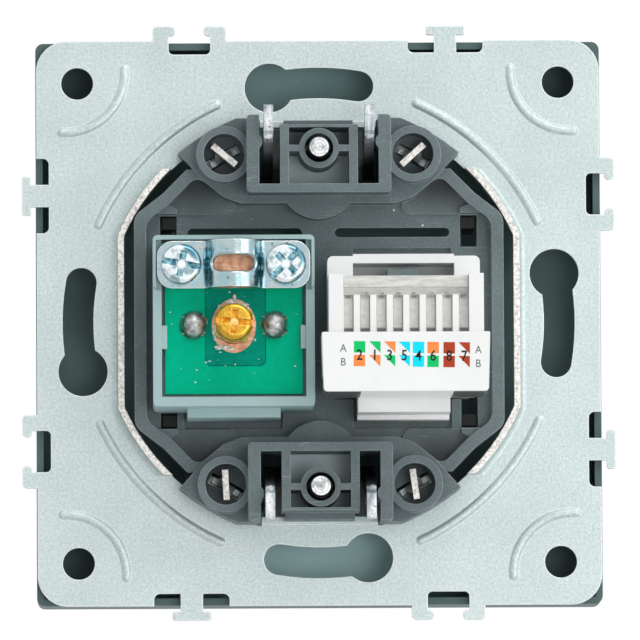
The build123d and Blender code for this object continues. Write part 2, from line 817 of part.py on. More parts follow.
def tv_board():
    """Circuit board with its holes."""
    high = board_high_z - board_low
    face = Pos(tv_x, (board_high_z + board_low) / 2) * Rectangle(board_wide, high)
    face -= Pos(tv_x, coax_z) * Circle(post_round + thread_gap)
    for side in (1, -1):
        face -= Pos(tv_x + side * earth_leg_at, coax_z) * Circle(earth_leg / 2 + thread_gap)
        face -= Pos(tv_x + side * saddle_screw_at, saddle_z) * Circle(screw_round + screw_gap)
    return slab(face, board_front, board_front + board)


def board_copper():
    """Bare pads on the board: one round the post, two at the earth legs, one under the plate."""
    back = board_front + board
    centre = Pos(tv_x, coax_z - pad_drop) * Ellipse(pad_wide / 2, pad_high / 2)
    centre -= Pos(tv_x, coax_z) * Circle(post_round + thread_gap)
    faces = [centre, earth_plate_face()]
    for side in (1, -1):
        faces.append(Pos(tv_x + side * earth_leg_at, coax_z) * Circle(earth_pad))
    return [slab(face, back, back + copper) for face in faces]


def earth_plate_face():
    """Outline of the plate under the saddle, with its two screw holes."""
    face = Pos(tv_x, saddle_z) * Rectangle(earth_plate_wide, earth_plate_high)
    for side in (1, -1):
        face -= Pos(tv_x + side * saddle_screw_at, saddle_z) * Circle(screw_round + thread_gap)
    return face


def solder_joints():
    """Domes of solder over the two earth legs."""
    level = board_front + board + copper
    ball = (solder_round ** 2 + solder_high ** 2) / (2 * solder_high)
    domes = []
    for side in (1, -1):
        dome = Pos(tv_x + side * earth_leg_at, level + solder_high - ball, coax_z) * Sphere(ball)
        keep = block(0, frame_wide, level, level + 2 * solder_high, -frame_high / 2, frame_high / 2)
        domes.append(dome & keep)
    return domes


def coax_shell():
    """Metal outlet with a flange and two legs that reach through the board."""
    step = plug_front - shell_step
    part = rod(tv_x, coax_z, shell_round, shell_front, step)
    part += rod(tv_x, coax_z, shell_seat, step, board_front)
    part += rod(tv_x, coax_z, shell_flange, board_front - flange_thick, board_front)
    part -= rod(tv_x, coax_z, shell_seat - shell_wall, shell_front, board_front)
    for side in (1, -1):
        leg_x = tv_x + side * earth_leg_at
        part += rod(leg_x, coax_z, earth_leg / 2, board_front, board_front + board)
    return part


def coax_insulator():
    """Ring that holds the pin in the shell."""
    ring = Pos(tv_x, coax_z) * (Circle(shell_seat - shell_wall) - Circle(pin_round + thread_gap))
    return slab(ring, insulator_front, insulator_back)


def coax_pin():
    """Centre contact, with a threaded post at the back for the terminal screw."""
    part = rod(tv_x, coax_z, pin_round, pin_front + pin_round, post_front)
    part += Pos(tv_x, pin_front + pin_round, coax_z) * Sphere(pin_round)
    part += rod(tv_x, coax_z, post_round, post_front, post_back)
    hole_front = post_back + washer_thick - terminal_length - post_spare
    return part - rod(tv_x, coax_z, screw_round + thread_gap, hole_front, post_back)


def terminal_washer():
    """Square washer, loose under the terminal screw."""
    face = RectangleRounded(washer_side, washer_side, washer_round) - Circle(screw_round + washer_gap)
    place = Pos(tv_x, coax_z - washer_drop) * Rot(0, 0, washer_turn)
    front = post_back + washer_lift
    return slab(place * face, front, front + washer_thick)


def pan_screw(x, z, seat, head_round, head_high, length, turn):
    """Screw with a slot and a cross in its head; the slot is turned by an angle."""
    top = seat + head_high
    head = rod(x, z, head_round, seat, top)
    rim = head.edges().filter_by(GeomType.CIRCLE).sort_by(Axis.Y)[-1]
    head = fillet(rim, head_edge)
    slot = Pos(x, z) * Rot(0, 0, turn) * Rectangle(2 * head_round, slot_wide)
    head -= slab(slot, top - slot_deep, top)
    cross = 2 * head_round * cross_share
    head -= cross_cut(x, z, top, cross, slot_deep + cross_extra, turn, -1)
    tip = screw_round - tip_round
    shank = rod(x, z, screw_round, seat - length + tip, seat)
    end = Pos(x, seat - length + tip / 2, z) * Rot(-90, 0, 0) * Cone(tip_round, screw_round, tip)
    return head + shank + end


def terminal_screw():
    """Brass screw for the core of the cable."""
    seat = post_back + washer_lift + washer_thick
    head = (terminal_head_round, terminal_head_high)
    return pan_screw(tv_x, coax_z, seat, *head, terminal_length, terminal_slot_turn)


def saddle_seat():
    """Level of the underside of the saddle."""
    return board_front + board + copper + earth_plate_thick


def cable_saddle():
    """Strap bent over the cable, with a window in its arch."""
    seat = saddle_seat()
    inner = arch_round - saddle_sheet
    above = Pos(0, arch_round) * Rectangle(saddle_wide, 2 * arch_round)
    strip = Pos(0, saddle_sheet / 2) * Rectangle(saddle_wide, saddle_sheet)
    strip += (Pos(0, arch_lift) * Circle(arch_round)) & above
    strip -= Pos(0, arch_lift) * Circle(inner)
    strip -= Pos(0, arch_lift / 2) * Rectangle(2 * inner, arch_lift)
    foot = strip.vertices().filter_by(lambda v: abs(v.Y - saddle_sheet) < 0.01 and abs(v.X) <= arch_round)
    strip = fillet(foot, arch_foot)
    strap = Pos(tv_x, seat, saddle_z - saddle_high / 2) * extrude(strip, saddle_high)
    plan = RectangleRounded(saddle_wide, saddle_high, saddle_round)
    plan -= SlotOverall(saddle_window_wide, saddle_window_high)
    for side in (1, -1):
        plan -= Pos(side * saddle_screw_at, 0) * Circle(screw_round + screw_gap)
    strap &= slab(Pos(tv_x, saddle_z) * plan, seat, seat + 2 * arch_round)
    return fillet(strap.edges().filter_by(on_saddle_window), saddle_window_edge)


def on_saddle_window(edge):
    """Whether an edge is the outer rim of the window in the arch."""
    middle = edge @ 0.5
    from_axis = hypot(middle.X - tv_x, middle.Y - saddle_seat() - arch_lift)
    half_high = saddle_window_high / 2 + 0.01
    return abs(from_axis - arch_round) < 0.01 and abs(middle.Z - saddle_z) < half_high


def saddle_screw(name):
    """One of the two screws of the saddle."""
    side = 1 if name == "left" else -1
    seat = saddle_seat() + saddle_sheet
    head = (saddle_head_round, saddle_head_high)
    x = tv_x + side * saddle_screw_at
    return pan_screw(x, saddle_z, seat, *head, saddle_screw_long, saddle_turns[name])


# Data jack

def jack_adapter():
    """White clip-in holder of the jack, with a recess above and a latch below."""
    high = adapter_top - adapter_low
    middle = (adapter_top + adapter_low) / 2
    body = Pos(jack_x, middle) * RectangleRounded(adapter_wide, high, adapter_round)
    part = slab(body, floor_back, adapter_back)
    part += slab(module_plug(jack_x, middle), plug_front, floor_back)
    half_latch = jack_latch_wide / 2
    latch = (jack_x - half_latch, jack_x + half_latch)
    part += block(*latch, floor_back, jack_latch_back, jack_latch_low, adapter_low)
    part += block(*latch, floor_back, jack_lip_back, jack_lip_low, jack_latch_low)
    recess = (jack_x - recess_wide / 2, jack_x + recess_wide / 2)
    lip_top = adapter_top + adapter_lip
    part += block(*recess, adapter_back - adapter_lip_deep, adapter_back, adapter_top, lip_top)
    part -= slab(jack_body_face(fit_gap), plug_front, adapter_back)
    part -= block(*recess, adapter_back - recess_deep, adapter_back, jack_top, recess_top)
    return part


def jack_body_face(grow=0.0):
    """Section of the jack's body."""
    high = jack_top - jack_low
    middle = (jack_top + jack_low) / 2
    return Pos(jack_x, middle) * Rectangle(jack_wide + 2 * grow, high + 2 * grow)


def jack_housing():
    """Body of the jack, with the port and the keyway for the plug's latch."""
    back = adapter_back - jack_board_thick
    part = slab(jack_body_face(), jack_front, back)
    lug_half = hook_lug_wide / 2
    hook_top = recess_top - 3 * fit_gap
    hook_front = adapter_back - recess_deep + fit_gap
    part += block(jack_x - lug_half, jack_x + lug_half, hook_front, back, jack_top, hook_top)
    port_high = port_top - port_low
    port = Pos(jack_x, port_low + port_high / 2) * Rectangle(port_wide, port_high)
    port += Pos(jack_x, port_low - key_deep / 2) * Rectangle(key_wide, key_deep)
    key_tip = Pos(jack_x, port_low - key_deep - key_tip_deep / 2)
    port += key_tip * Rectangle(key_tip_wide, key_tip_deep)
    part -= slab(port, jack_front, jack_front + port_deep)
    well_half = 4 * contact_pitch
    well_low = port_top - contact_well
    well = block(jack_x - well_half, jack_x + well_half, jack_front + port_deep, back, well_low, port_top)
    return part - well


def jack_contacts():
    """Eight sprung wires that slope down into the port."""
    back = adapter_back - jack_board_thick
    front = jack_front + contact_front
    top = port_top - contact_gap
    profile = [
        (back, top),
        (front, top),
        (front, top - contact_wide),
        (front + contact_long, top - contact_dip),
        (front + contact_long + contact_tip, top - contact_dip + contact_wide),
        (front + contact_root, top - contact_wide),
        (back, top - contact_wide),
    ]
    wires = []
    for place in range(8):
        x = jack_x + (place - 3.5) * contact_pitch - contact_wide / 2
        face = make_face(Polyline(*[(x, y, z) for y, z in profile], close=True))
        wires.append(extrude(face, contact_wide, dir=(1, 0, 0)))
    return wires


def jack_board():
    """Small board behind the jack's body."""
    face = jack_body_face(-jack_board_gap)
    return slab(face, adapter_back - jack_board_thick, adapter_back)


def wire_places():
    """X of the eight wire slots."""
    return [wire_x + (place - 3.5) * wire_pitch for place in range(8)]


def jack_rear_block():
    """White block with a base, the label part, two pillars and seven fingers."""
    base_high = pillar_top - block_low
    base = Pos(wire_x, block_low + base_high / 2) * Rectangle(pillar_out, base_high)
    part = slab(base, adapter_back, base_back)
    top_half = block_wide / 2
    low_half = top_half - block_draft
    upper = [(jack_x + top_half, block_top), (jack_x - top_half, block_top)]
    lower = [(jack_x - low_half, block_low), (jack_x + low_half, block_low)]
    label = outline(upper + lower)
    label = fillet(label.vertices().group_by(Axis.Y)[0], block_round)
    label = chamfer(label.vertices().group_by(Axis.Y)[-1], block_chamfer)
    part += slab(label, base_back, block_back)
    pillar_high = pillar_top - block_top
    for side in (1, -1):
        pillar_x = wire_x + side * (pillar_out - pillar) / 2
        post = Pos(pillar_x, block_top + pillar_high / 2) * Rectangle(pillar, pillar_high)
        part += slab(post, base_back, pillar_back)
    finger = wire_pitch - wire_slot
    finger_high = finger_top - block_top
    for place in range(7):
        x = wire_x + (place - 3) * wire_pitch
        rest = Pos(x, block_top + finger_high / 2) * Rectangle(finger, finger_high)
        part += slab(rest, base_back, finger_back)
    half = idc_thick / 2 + comb_gap
    low, high = idc_ends()
    for x in wire_places():
        part -= block(x - half, x + half, adapter_back, base_back, low - comb_gap, high + comb_gap)
    return part


def idc_ends():
    """Lower and upper end of the blades."""
    middle = (block_top + finger_top) / 2
    return middle - idc_high / 2, middle + idc_high / 2


def idc_contacts():
    """Eight forked blades that cut into the wires."""
    blades = []
    low, high = idc_ends()
    back = comb_tooth_front - idc_end_gap
    slit_front = base_back - idc_slit_deep
    for x in wire_places():
        blade = block(x - idc_thick / 2, x + idc_thick / 2, adapter_back, back, low, high)
        slit = ((low + high - idc_slit) / 2, (low + high + idc_slit) / 2)
        blade -= block(x - idc_thick, x + idc_thick, slit_front, back, *slit)
        blades.append(blade)
    return blades


def wire_comb():
    """Clear comb over the wires: a bar, a lower strip and eight teeth."""
    inside = (pillar_out - 2 * pillar) / 2 - comb_gap
    part = block(wire_x - inside, wire_x + inside, base_back, comb_bar_back, comb_bar_low, comb_top)
    strip = (base_back, comb_strip_back, finger_top + comb_gap, comb_bar_low)
    part += block(wire_x - inside, wire_x + inside, *strip)
    half = wire_slot / 2 - comb_gap
    tooth = (comb_tooth_front, comb_tooth_back, block_top + comb_tooth_end, comb_bar_low)
    for x in wire_places():
        part += block(x - half, x + half, *tooth)
    return part


# Front cover

def front_cover():
    """Skirted plate with the two outlet openings and four snap fingers."""
    rim_back = -sheet - cover_stand_off
    part = slab(RectangleRounded(cover_wide, cover_high, cover_corner), cover_front, rim_back)
    edges = part.faces().sort_by(Axis.Y)[0].edges()
    part = fillet(edges, cover_edge)
    inner = Rectangle(cover_wide - 2 * cover_skirt, cover_high - 2 * cover_skirt)
    plate_back = cover_front + cover_plate
    part -= slab(inner, plate_back, rim_back)
    part -= rod(tv_x, coax_z, coax_hole, cover_front, plate_back)
    part -= slab(jack_body_face(port_gap), cover_front, plate_back)
    for side in (1, -1):
        for level in (1, -1):
            inside = window_x + finger_off - finger_thick / 2
            finger = Pos(side * (inside + finger_thick / 2), level * finger_z)
            part += slab(finger * Rectangle(finger_thick, finger_wide), plate_back, finger_end)
            rib_from = window_x - window_wide / 2 + rib_gap
            rib_face = Pos(side * (rib_from + inside) / 2, level * finger_z)
            rib_face *= Rectangle(inside - rib_from, finger_wide)
            part += slab(rib_face, finger_end - rib_long, finger_end)
    return part


nodes = {
    "mounting_frame": mounting_frame(),
    "carrier": carrier(),
    "front_cover": front_cover(),
    "claw_top": placed_claw("top"),
    "claw_bottom": placed_claw("bottom"),
    "claw_screw_top": claw_screw(1),
    "claw_screw_bottom": claw_screw(-1),
    "tv_housing": tv_housing(),
    "tv_board": tv_board(),
    "board_copper": board_copper(),
    "solder_joints": solder_joints(),
    "coax_shell": coax_shell(),
    "coax_insulator": coax_insulator(),
    "coax_pin": coax_pin(),
    "terminal_screw": terminal_screw(),
    "terminal_washer": terminal_washer(),
    "earth_plate": slab(earth_plate_face(), saddle_seat() - earth_plate_thick, saddle_seat()),
    "cable_saddle": cable_saddle(),
    "saddle_screw_left": saddle_screw("left"),
    "saddle_screw_right": saddle_screw("right"),
    "jack_adapter": jack_adapter(),
    "jack_housing": jack_housing(),
    "jack_board": jack_board(),
    "jack_contacts": jack_contacts(),
    "jack_rear_block": jack_rear_block(),
    "wire_comb": wire_comb(),
    "idc_contacts": idc_contacts(),
}

os.makedirs("parts", exist_ok=True)
for name, shape in nodes.items():
    solids = shape if isinstance(shape, list) else [shape]
    pieces = [solid for item in solids for solid in item.solids()]
    whole = pieces[0] if len(pieces) == 1 else Compound(children=pieces)
    export_step(whole, f"parts/{name}.step")
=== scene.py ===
import random
from math import cos, pi, radians, sin, sqrt, tan

import bmesh
import bpy
from mathutils import Matrix, Vector

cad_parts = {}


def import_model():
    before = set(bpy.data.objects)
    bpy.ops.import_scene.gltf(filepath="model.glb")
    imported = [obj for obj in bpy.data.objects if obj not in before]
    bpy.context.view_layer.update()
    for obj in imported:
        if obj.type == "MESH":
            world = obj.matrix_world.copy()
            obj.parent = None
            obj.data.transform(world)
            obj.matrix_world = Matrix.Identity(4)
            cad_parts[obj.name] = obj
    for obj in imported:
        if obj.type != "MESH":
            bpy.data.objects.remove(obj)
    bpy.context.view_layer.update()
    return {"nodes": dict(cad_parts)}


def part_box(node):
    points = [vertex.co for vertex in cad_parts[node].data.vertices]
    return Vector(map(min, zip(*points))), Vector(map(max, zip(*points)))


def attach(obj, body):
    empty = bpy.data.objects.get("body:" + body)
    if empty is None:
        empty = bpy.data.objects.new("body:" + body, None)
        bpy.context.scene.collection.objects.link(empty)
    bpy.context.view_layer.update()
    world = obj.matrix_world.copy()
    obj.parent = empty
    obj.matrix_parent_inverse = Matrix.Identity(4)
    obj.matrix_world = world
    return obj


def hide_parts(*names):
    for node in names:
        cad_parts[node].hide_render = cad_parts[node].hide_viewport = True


# The TV and data socket seen from behind, as the photograph shows it.
# Sizes are in metres, unless a name or a comment says otherwise.

MM = 0.001

# How the photograph sees the steel frame
PHOTO_WIDE = 640             # pixels
PIXELS_PER_MM = 7.983        # at the steel's back face
CAMERA_AWAY = 1.4
CAMERA_AZIMUTH = radians(179.0)
CAMERA_ELEVATION = radians(-4.7)
CAMERA_ROLL = radians(-0.32)
SENSOR_MM = 36
PICTURE_MIDDLE = (-0.16 * MM, 0.0, 0.31 * MM)
FILL_LIGHT = 0.42            # strength of the world on the object; the background shows at 1

# How far a bevel turns the surface, as a cosine
FLAT_TURN = 0.995
EDGE_TURN = 0.86

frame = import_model()
nodes = frame["nodes"]


# Small helpers for materials

class Look:
    """One material's node tree, with short ways to add and link nodes."""

    def __init__(self, name):
        self.material = bpy.data.materials.new(name)
        self.material.use_nodes = True
        self.tree = self.material.node_tree
        self.tree.nodes.clear()
        self.shader = self.node("ShaderNodeBsdfPrincipled")
        output = self.node("ShaderNodeOutputMaterial")
        self.link(self.shader.outputs["BSDF"], output.inputs["Surface"])
        coordinates = self.node("ShaderNodeTexCoord")
        self.place = coordinates.outputs["Object"]

    def node(self, kind, **settings):
        made = self.tree.nodes.new(kind)
        for key, value in settings.items():
            setattr(made, key, value)
        return made

    def link(self, source, target):
        self.tree.links.new(source, target)

    def set(self, **values):
        """Sets plain numbers and colours on the shader's own sockets."""
        for key, value in values.items():
            socket = self.shader.inputs[key.replace("_", " ")]
            is_colour = isinstance(value, tuple)
            socket.default_value = (*value, 1.0) if is_colour and len(value) == 3 else value
        return self

    def math(self, operation, first, second=0.0):
        made = self.node("ShaderNodeMath", operation=operation)
        for socket, value in zip(made.inputs, (first, second)):
            if isinstance(value, (int, float)):
                socket.default_value = value
            else:
                self.link(value, socket)
        return made.outputs[0]

    def product(self, first, *others):
        """Multiplies sockets and numbers."""
        for value in others:
            first = self.math("MULTIPLY", first, value)
        return first

    def distance(self, across, up):
        """Length of a step across and up."""
        squares = self.math("ADD", self.product(across, across), self.product(up, up))
        return self.math("SQRT", squares)

    def noise(self, scale, detail, roughness=0.5, stretch=None):
        made = self.node("ShaderNodeTexNoise")
        made.inputs["Scale"].default_value = scale
        made.inputs["Detail"].default_value = detail
        made.inputs["Roughness"].default_value = roughness
        if stretch is None:
            self.link(self.place, made.inputs["Vector"])
        else:
            mapping = self.node("ShaderNodeMapping")
            mapping.inputs["Scale"].default_value = stretch
            self.link(self.place, mapping.inputs["Vector"])
            self.link(mapping.outputs[0], made.inputs["Vector"])
        return made.outputs["Fac"]

    def range(self, value, low, high, to_low=0.0, to_high=1.0):
        made = self.node("ShaderNodeMapRange", clamp=True)
        ends = {"From Min": low, "From Max": high, "To Min": to_low, "To Max": to_high}
        for key, number in ends.items():
            made.inputs[key].default_value = number
        self.link(value, made.inputs["Value"])
        return made.outputs["Result"]

    def mix(self, factor, first, second):
        made = self.node("ShaderNodeMix", data_type="RGBA")
        sockets = {"Factor": factor, "A": first, "B": second}
        for key, value in sockets.items():
            kind = "VALUE" if key == "Factor" else "RGBA"
            socket = next(s for s in made.inputs if s.name == key and s.type == kind)
            if isinstance(value, tuple):
                socket.default_value = (*value, 1.0)
            elif isinstance(value, (int, float)):
                socket.default_value = value
            else:
                self.link(value, socket)
        return next(s for s in made.outputs if s.type == "RGBA")

    def bump(self, height, distance, strength, edge=0.0):
        """Raises the surface by a height texture, and rounds sharp edges a little."""
        made = self.node("ShaderNodeBump")
        made.inputs["Distance"].default_value = distance
        made.inputs["Strength"].default_value = strength
        self.link(height, made.inputs["Height"])
        if edge:
            self.link(self.rounded(edge), made.inputs["Normal"])
        self.link(made.outputs[0], self.shader.inputs["Normal"])

    def rounded(self, radius):
        made = self.node("ShaderNodeBevel", samples=6)
        made.inputs["Radius"].default_value = radius
        return made.outputs[0]

    def part(self, axis, source=None):
        """One coordinate of a point on the object, or of another vector."""
        made = self.node("ShaderNodeSeparateXYZ")
        self.link(self.place if source is None else source, made.inputs[0])
        return made.outputs[axis]

    def facing(self, axis):
        """How far the true surface faces along an axis, either way."""
        geometry = self.node("ShaderNodeNewGeometry")
        return self.math("ABSOLUTE", self.part(axis, geometry.outputs["True Normal"]))

    def level(self):
        """1 on faces that lie square to Y, and 0 on sloping and upright ones."""
        return self.range(self.facing("Y"), 0.9, 0.95)

    def away(self, middle):
        """How far a point lies, in X and Z, from a place that is mirrored to all four corners."""
        across = self.math("SUBTRACT", self.math("ABSOLUTE", self.part("X")), middle[0])
        up = self.math("SUBTRACT", self.math("ABSOLUTE", self.part("Z")), middle[1])
        return self.distance(across, up)

    def edge_wear_and_highlight(self, radius):
        """1 on sharp edges and 0 on open faces, from how a bevel would turn the surface. It marks
        worn edges and painted edge highlights.
        """
        geometry = self.node("ShaderNodeNewGeometry")
        turned = self.node("ShaderNodeVectorMath", operation="DOT_PRODUCT")
        self.link(self.rounded(radius), turned.inputs[0])
        self.link(geometry.outputs["True Normal"], turned.inputs[1])
        return self.range(turned.outputs["Value"], FLAT_TURN, EDGE_TURN)

    def scratches(self, scale, stretch, turn, thin=0.015):
        """Thin straight scratches, one way."""
        mapping = self.node("ShaderNodeMapping")
        mapping.inputs["Rotation"].default_value = (0.0, turn, 0.0)
        mapping.inputs["Scale"].default_value = stretch
        self.link(self.place, mapping.inputs["Vector"])
        made = self.node("ShaderNodeTexNoise")
        made.inputs["Scale"].default_value = scale
        made.inputs["Detail"].default_value = 0.0
        self.link(mapping.outputs[0], made.inputs["Vector"])
        away = self.math("ABSOLUTE", self.math("SUBTRACT", made.outputs["Fac"], 0.5))
        return self.range(away, thin, thin / 3)

    def ridges(self, ends, fine):
        """Height of a screw thread between two depths, with a fine grain on top."""
        along = self.part("Y")
        wave = self.math("SINE", self.product(along, 2 * pi / THREAD_PITCH))
        low, high = ends
        inside = self.product(self.range(along, low, low + THREAD_FADE),
                              self.range(along, high, high - THREAD_FADE),
                              self.range(self.facing("Y"), 0.5, 0.3))
        return self.math("ADD", self.product(wave, inside), fine)

    def colour(self, source):
        self.link(source, self.shader.inputs["Base Color"])

    def roughness(self, source):
        self.link(source, self.shader.inputs["Roughness"])


# Levels and places on the solids

RIM_TOP = 2.4 * MM           # cut edge of the steel collar
CLAW_ELBOW = 8.0 * MM        # a claw is painted darker below this as shade, on the slope under its elbow
CLAW_SHADE = (21.0 * MM, 19.4 * MM)   # the slope's painted shade deepens to black between these heights
CLAW_SCREW = (0.0, 21.15 * MM)
TIP_ROUND = 1.22 * MM        # bright tip of a claw screw; the thread round it is painted near black as shade
TIP_RINGS = 0.4 * MM         # between the turning marks on it
WELL = (11.777 * MM, 20.647 * MM)
WELL_FLOOR = 2.0 * MM
SLOT_REACH = 2.45 * MM       # of a lug's slot, from the middle of its well
SLOT_ROUND = 2.95 * MM       # what is painted dark as shade on the cover behind a slot
WINDOW = (18.8 * MM, 11.35 * MM)   # of a snap finger
WINDOW_REACH = 3.2 * MM
POCKET = (15.1 * MM, 18.27 * MM)   # corner of the carrier's floor beside a well
POCKET_REACH = (5.5 * MM, 1.8 * MM)   # its shade grows between these distances from there
POCKET_LEVEL = 3.2 * MM
POCKET_SHADE = 0.72
BRACKET_MIDDLE = (0.0, 20.2 * MM)
BRACKET_REACH = 5.3 * MM
FINGER_LEVEL = -3.0 * MM     # the cover's snap fingers stand above this
KEYHOLE_ACROSS = (13 * MM, 9 * MM)    # the cover's painted light is palest inside these, behind a keyhole
KEYHOLE_UP = (22 * MM, 26 * MM)
HEAD_RECESS = 14.6 * MM      # in the saddle screws' heads
HEAD_HIGHLIGHT = (0.4 * MM, 0.75 * MM)   # painted highlight in the middle of that recess
HEAD_SHADOW = (2.0 * MM, 2.5 * MM)    # painted shadow on the upper right edge of a head
LATCH_X = -10.6 * MM
LATCH_HALF = 5.7 * MM
BLOCK_FOOT = (-8.0 * MM, -8.2 * MM)   # the label block is hollow below this, and painted dark there as shade
WIRE_X = -10.54 * MM
WIRE_PITCH = 2.04 * MM
COMB_BAR = 1.75 * MM         # the comb's teeth hang below this height
COMB_END = -2.0 * MM         # and are painted dark below this one, as shade
ROOT_FROM = (1.5 * MM, 1.8 * MM)      # their roots' painted shade fades in here
ROOT_TO = (2.5 * MM, 2.3 * MM)        # and out here
BRASS_TOP = 17.0 * MM
BRASS_HIGHLIGHT = (0.62 * MM, 0.38 * MM)   # painted highlight in the middle of the brass screw
LABEL_LEVEL = 20.0 * MM
BOARD_LEVEL = 11.0 * MM
PAD_LEVEL = 11.1 * MM
COVER_LEVEL = -8.0 * MM
FLOOR_LEVEL = 1.0 * MM
TERMINAL = (10.75 * MM, -1.2 * MM)
EARTH_AT = 5.0 * MM
THREAD_PITCH = 0.5 * MM
THREAD_FADE = 0.1 * MM       # a thread runs out over this length
CLAW_THREAD = (-5.4 * MM, 9.6 * MM)
TERMINAL_THREAD = (9.8 * MM, 15.1 * MM)
SADDLE_THREAD = (8.0 * MM, 12.9 * MM)
THREAD_DEEP = 0.15 * MM
FINE_SHARE = 0.1             # height of a screw's fine grain, as a share of its thread
# Painted shade, for the deepest places
SHADE_BLACK = (0.004, 0.006, 0.006)


# Metals

def zinc_steel():
    """Galvanised sheet: pale, with a fine crystalline speckle, soft clouds, raw cut edges and a
    painted highlight on sharp edges.
    """
    look = Look("zinc_steel").set(Metallic=0.5)
    cloud = look.noise(90, 3)
    grain = look.range(look.noise(5200, 1, 0.6), 0.32, 0.68)
    patch = look.range(look.noise(2700, 2, 0.6), 0.35, 0.65)
    tone = look.mix(look.range(cloud, 0.35, 0.65), (0.5, 0.585, 0.58), (0.59, 0.675, 0.67))
    tone = look.mix(look.product(grain, 0.45), tone, (0.78, 0.87, 0.86))
    tone = look.mix(look.product(patch, 0.4), tone, (0.33, 0.41, 0.41))
    # Painted highlight: sharp edges made nearly white
    tone = look.mix(look.product(look.edge_wear_and_highlight(0.0003), 0.75), tone, (0.97, 1.0, 1.0))
    burr = look.noise(2600, 3, 0.7)
    cut = look.mix(look.range(burr, 0.3, 0.6), (0.4, 0.37, 0.34), (0.92, 0.9, 0.86))
    above = look.range(look.part("Y"), RIM_TOP - 0.04 * MM, RIM_TOP - 0.02 * MM)
    tone = look.mix(look.product(above, look.facing("Y")), tone, cut)
    look.colour(tone)
    look.roughness(look.range(grain, 0.0, 1.0, 0.5, 0.36))
    look.bump(grain, 0.00003, 0.4, edge=0.00016)
    return look.material


def claw_steel():
    """Bright zinc on thick sheet, pitted, with painted shade: darker below the elbow and black deep
    in the bracket.
    """
    look = Look("claw_steel").set(Metallic=0.35)
    streak = look.noise(700, 3, 0.65, stretch=(1.0, 0.3, 0.3))
    pits = look.noise(2600, 2, 0.6)
    tone = look.mix(look.range(streak, 0.35, 0.62), (0.22, 0.28, 0.33), (0.82, 0.85, 0.86))
    along = look.math("ABSOLUTE", look.part("Z"))
    below = look.range(look.part("Y"), CLAW_ELBOW, CLAW_ELBOW - 1.0 * MM)
    deep = look.product(look.range(along, *CLAW_SHADE), below)
    tone = look.mix(look.product(look.range(pits, 0.5, 0.6), 0.45), tone, (0.3, 0.33, 0.33))
    # Painted shade: darker below the elbow, and black deep in the bracket
    tone = look.mix(look.product(below, 0.75), tone, (0.2, 0.22, 0.22))
    tone = look.mix(deep, tone, (0.01, 0.012, 0.012))
    look.colour(look.mix(look.range(pits, 0.64, 0.72), tone, (0.12, 0.14, 0.14)))
    look.roughness(look.range(streak, 0.3, 0.7, 0.24, 0.5))
    look.bump(look.math("ADD", streak, pits), 0.00005, 0.5, edge=0.00014)
    return look.material


def bright_zinc(name, thread=None, tip=False, head=None):
    """Clear bright zinc with a bluish film. A thread runs between two depths, where given.

    A tip is bright only inside its thread, which is painted near black as shade. Without a head,
    sharp edges are painted almost white as a highlight. A head round an axis has painted
    reflections on its facets, a painted shadow on its upper right edge and a blue recess with a
    painted highlight in its middle."""
    look = Look(name).set(Metallic=1.0)
    film = look.noise(620, 2, 0.6)
    tone = look.mix(look.range(film, 0.4, 0.6), (0.5, 0.57, 0.58), (0.36, 0.52, 0.57))
    grime = look.noise(1300, 3, 0.6)
    tone = look.mix(look.range(grime, 0.6, 0.72), tone, (0.2, 0.27, 0.29))
    if head:
        right = look.math("SUBTRACT", head[0], look.part("X"))
        up = look.math("SUBTRACT", look.part("Z"), head[1])
        reach = look.distance(right, up)
        # Painted reflections: light and dark facets on the head
        facet_reflections = look.range(look.noise(1000, 1, 0.5), 0.42, 0.56)
        tone = look.mix(facet_reflections, (0.34, 0.46, 0.5), (0.84, 0.9, 0.92))
        # Painted shadow on the head's upper right edge
        corner = look.range(look.math("ADD", right, up), *HEAD_SHADOW)
        tone = look.mix(look.product(corner, 0.85), tone, (0.05, 0.22, 0.3))
        film_blue = look.mix(look.range(look.noise(1800, 2, 0.6), 0.4, 0.6),
                             (0.02, 0.12, 0.17), (0.3, 0.55, 0.62))
        # Painted highlight in the middle of the recess
        recess = look.mix(look.range(reach, *HEAD_HIGHLIGHT), (0.9, 0.94, 0.95), film_blue)
        below = look.range(look.part("Y"), HEAD_RECESS, HEAD_RECESS - 0.3 * MM)
        tone = look.mix(below, tone, recess)
    else:
        # Painted highlight: sharp edges made almost white
        tone = look.mix(look.product(look.edge_wear_and_highlight(0.0002), 0.8), tone, (0.98, 1.0, 1.0))
    if tip:
        dents = look.range(look.noise(1150, 2), 0.46, 0.62)
        tone = look.mix(look.product(dents, 0.7), (0.88, 0.9, 0.9), (0.2, 0.22, 0.22))
        from_axis = look.away(CLAW_SCREW)
        waves = look.math("SINE", look.product(from_axis, 2 * pi / TIP_RINGS))
        tone = look.mix(look.range(waves, 0.3, 0.9, 0.0, 0.4), tone, (0.3, 0.33, 0.33))
        # Painted shade: beyond the tip, down its thread, the screw is near black
        thread_shade = look.range(from_axis, TIP_ROUND - 0.06 * MM, TIP_ROUND + 0.02 * MM)
        tone = look.mix(thread_shade, tone, (0.01, 0.012, 0.012))
    look.colour(tone)
    look.roughness(look.range(film, 0.3, 0.7, 0.12, 0.24))
    fine = look.product(look.noise(1500, 2), FINE_SHARE)
    look.bump(look.ridges(thread, fine) if thread else fine, THREAD_DEEP, 0.6, edge=0.00014)
    return look.material


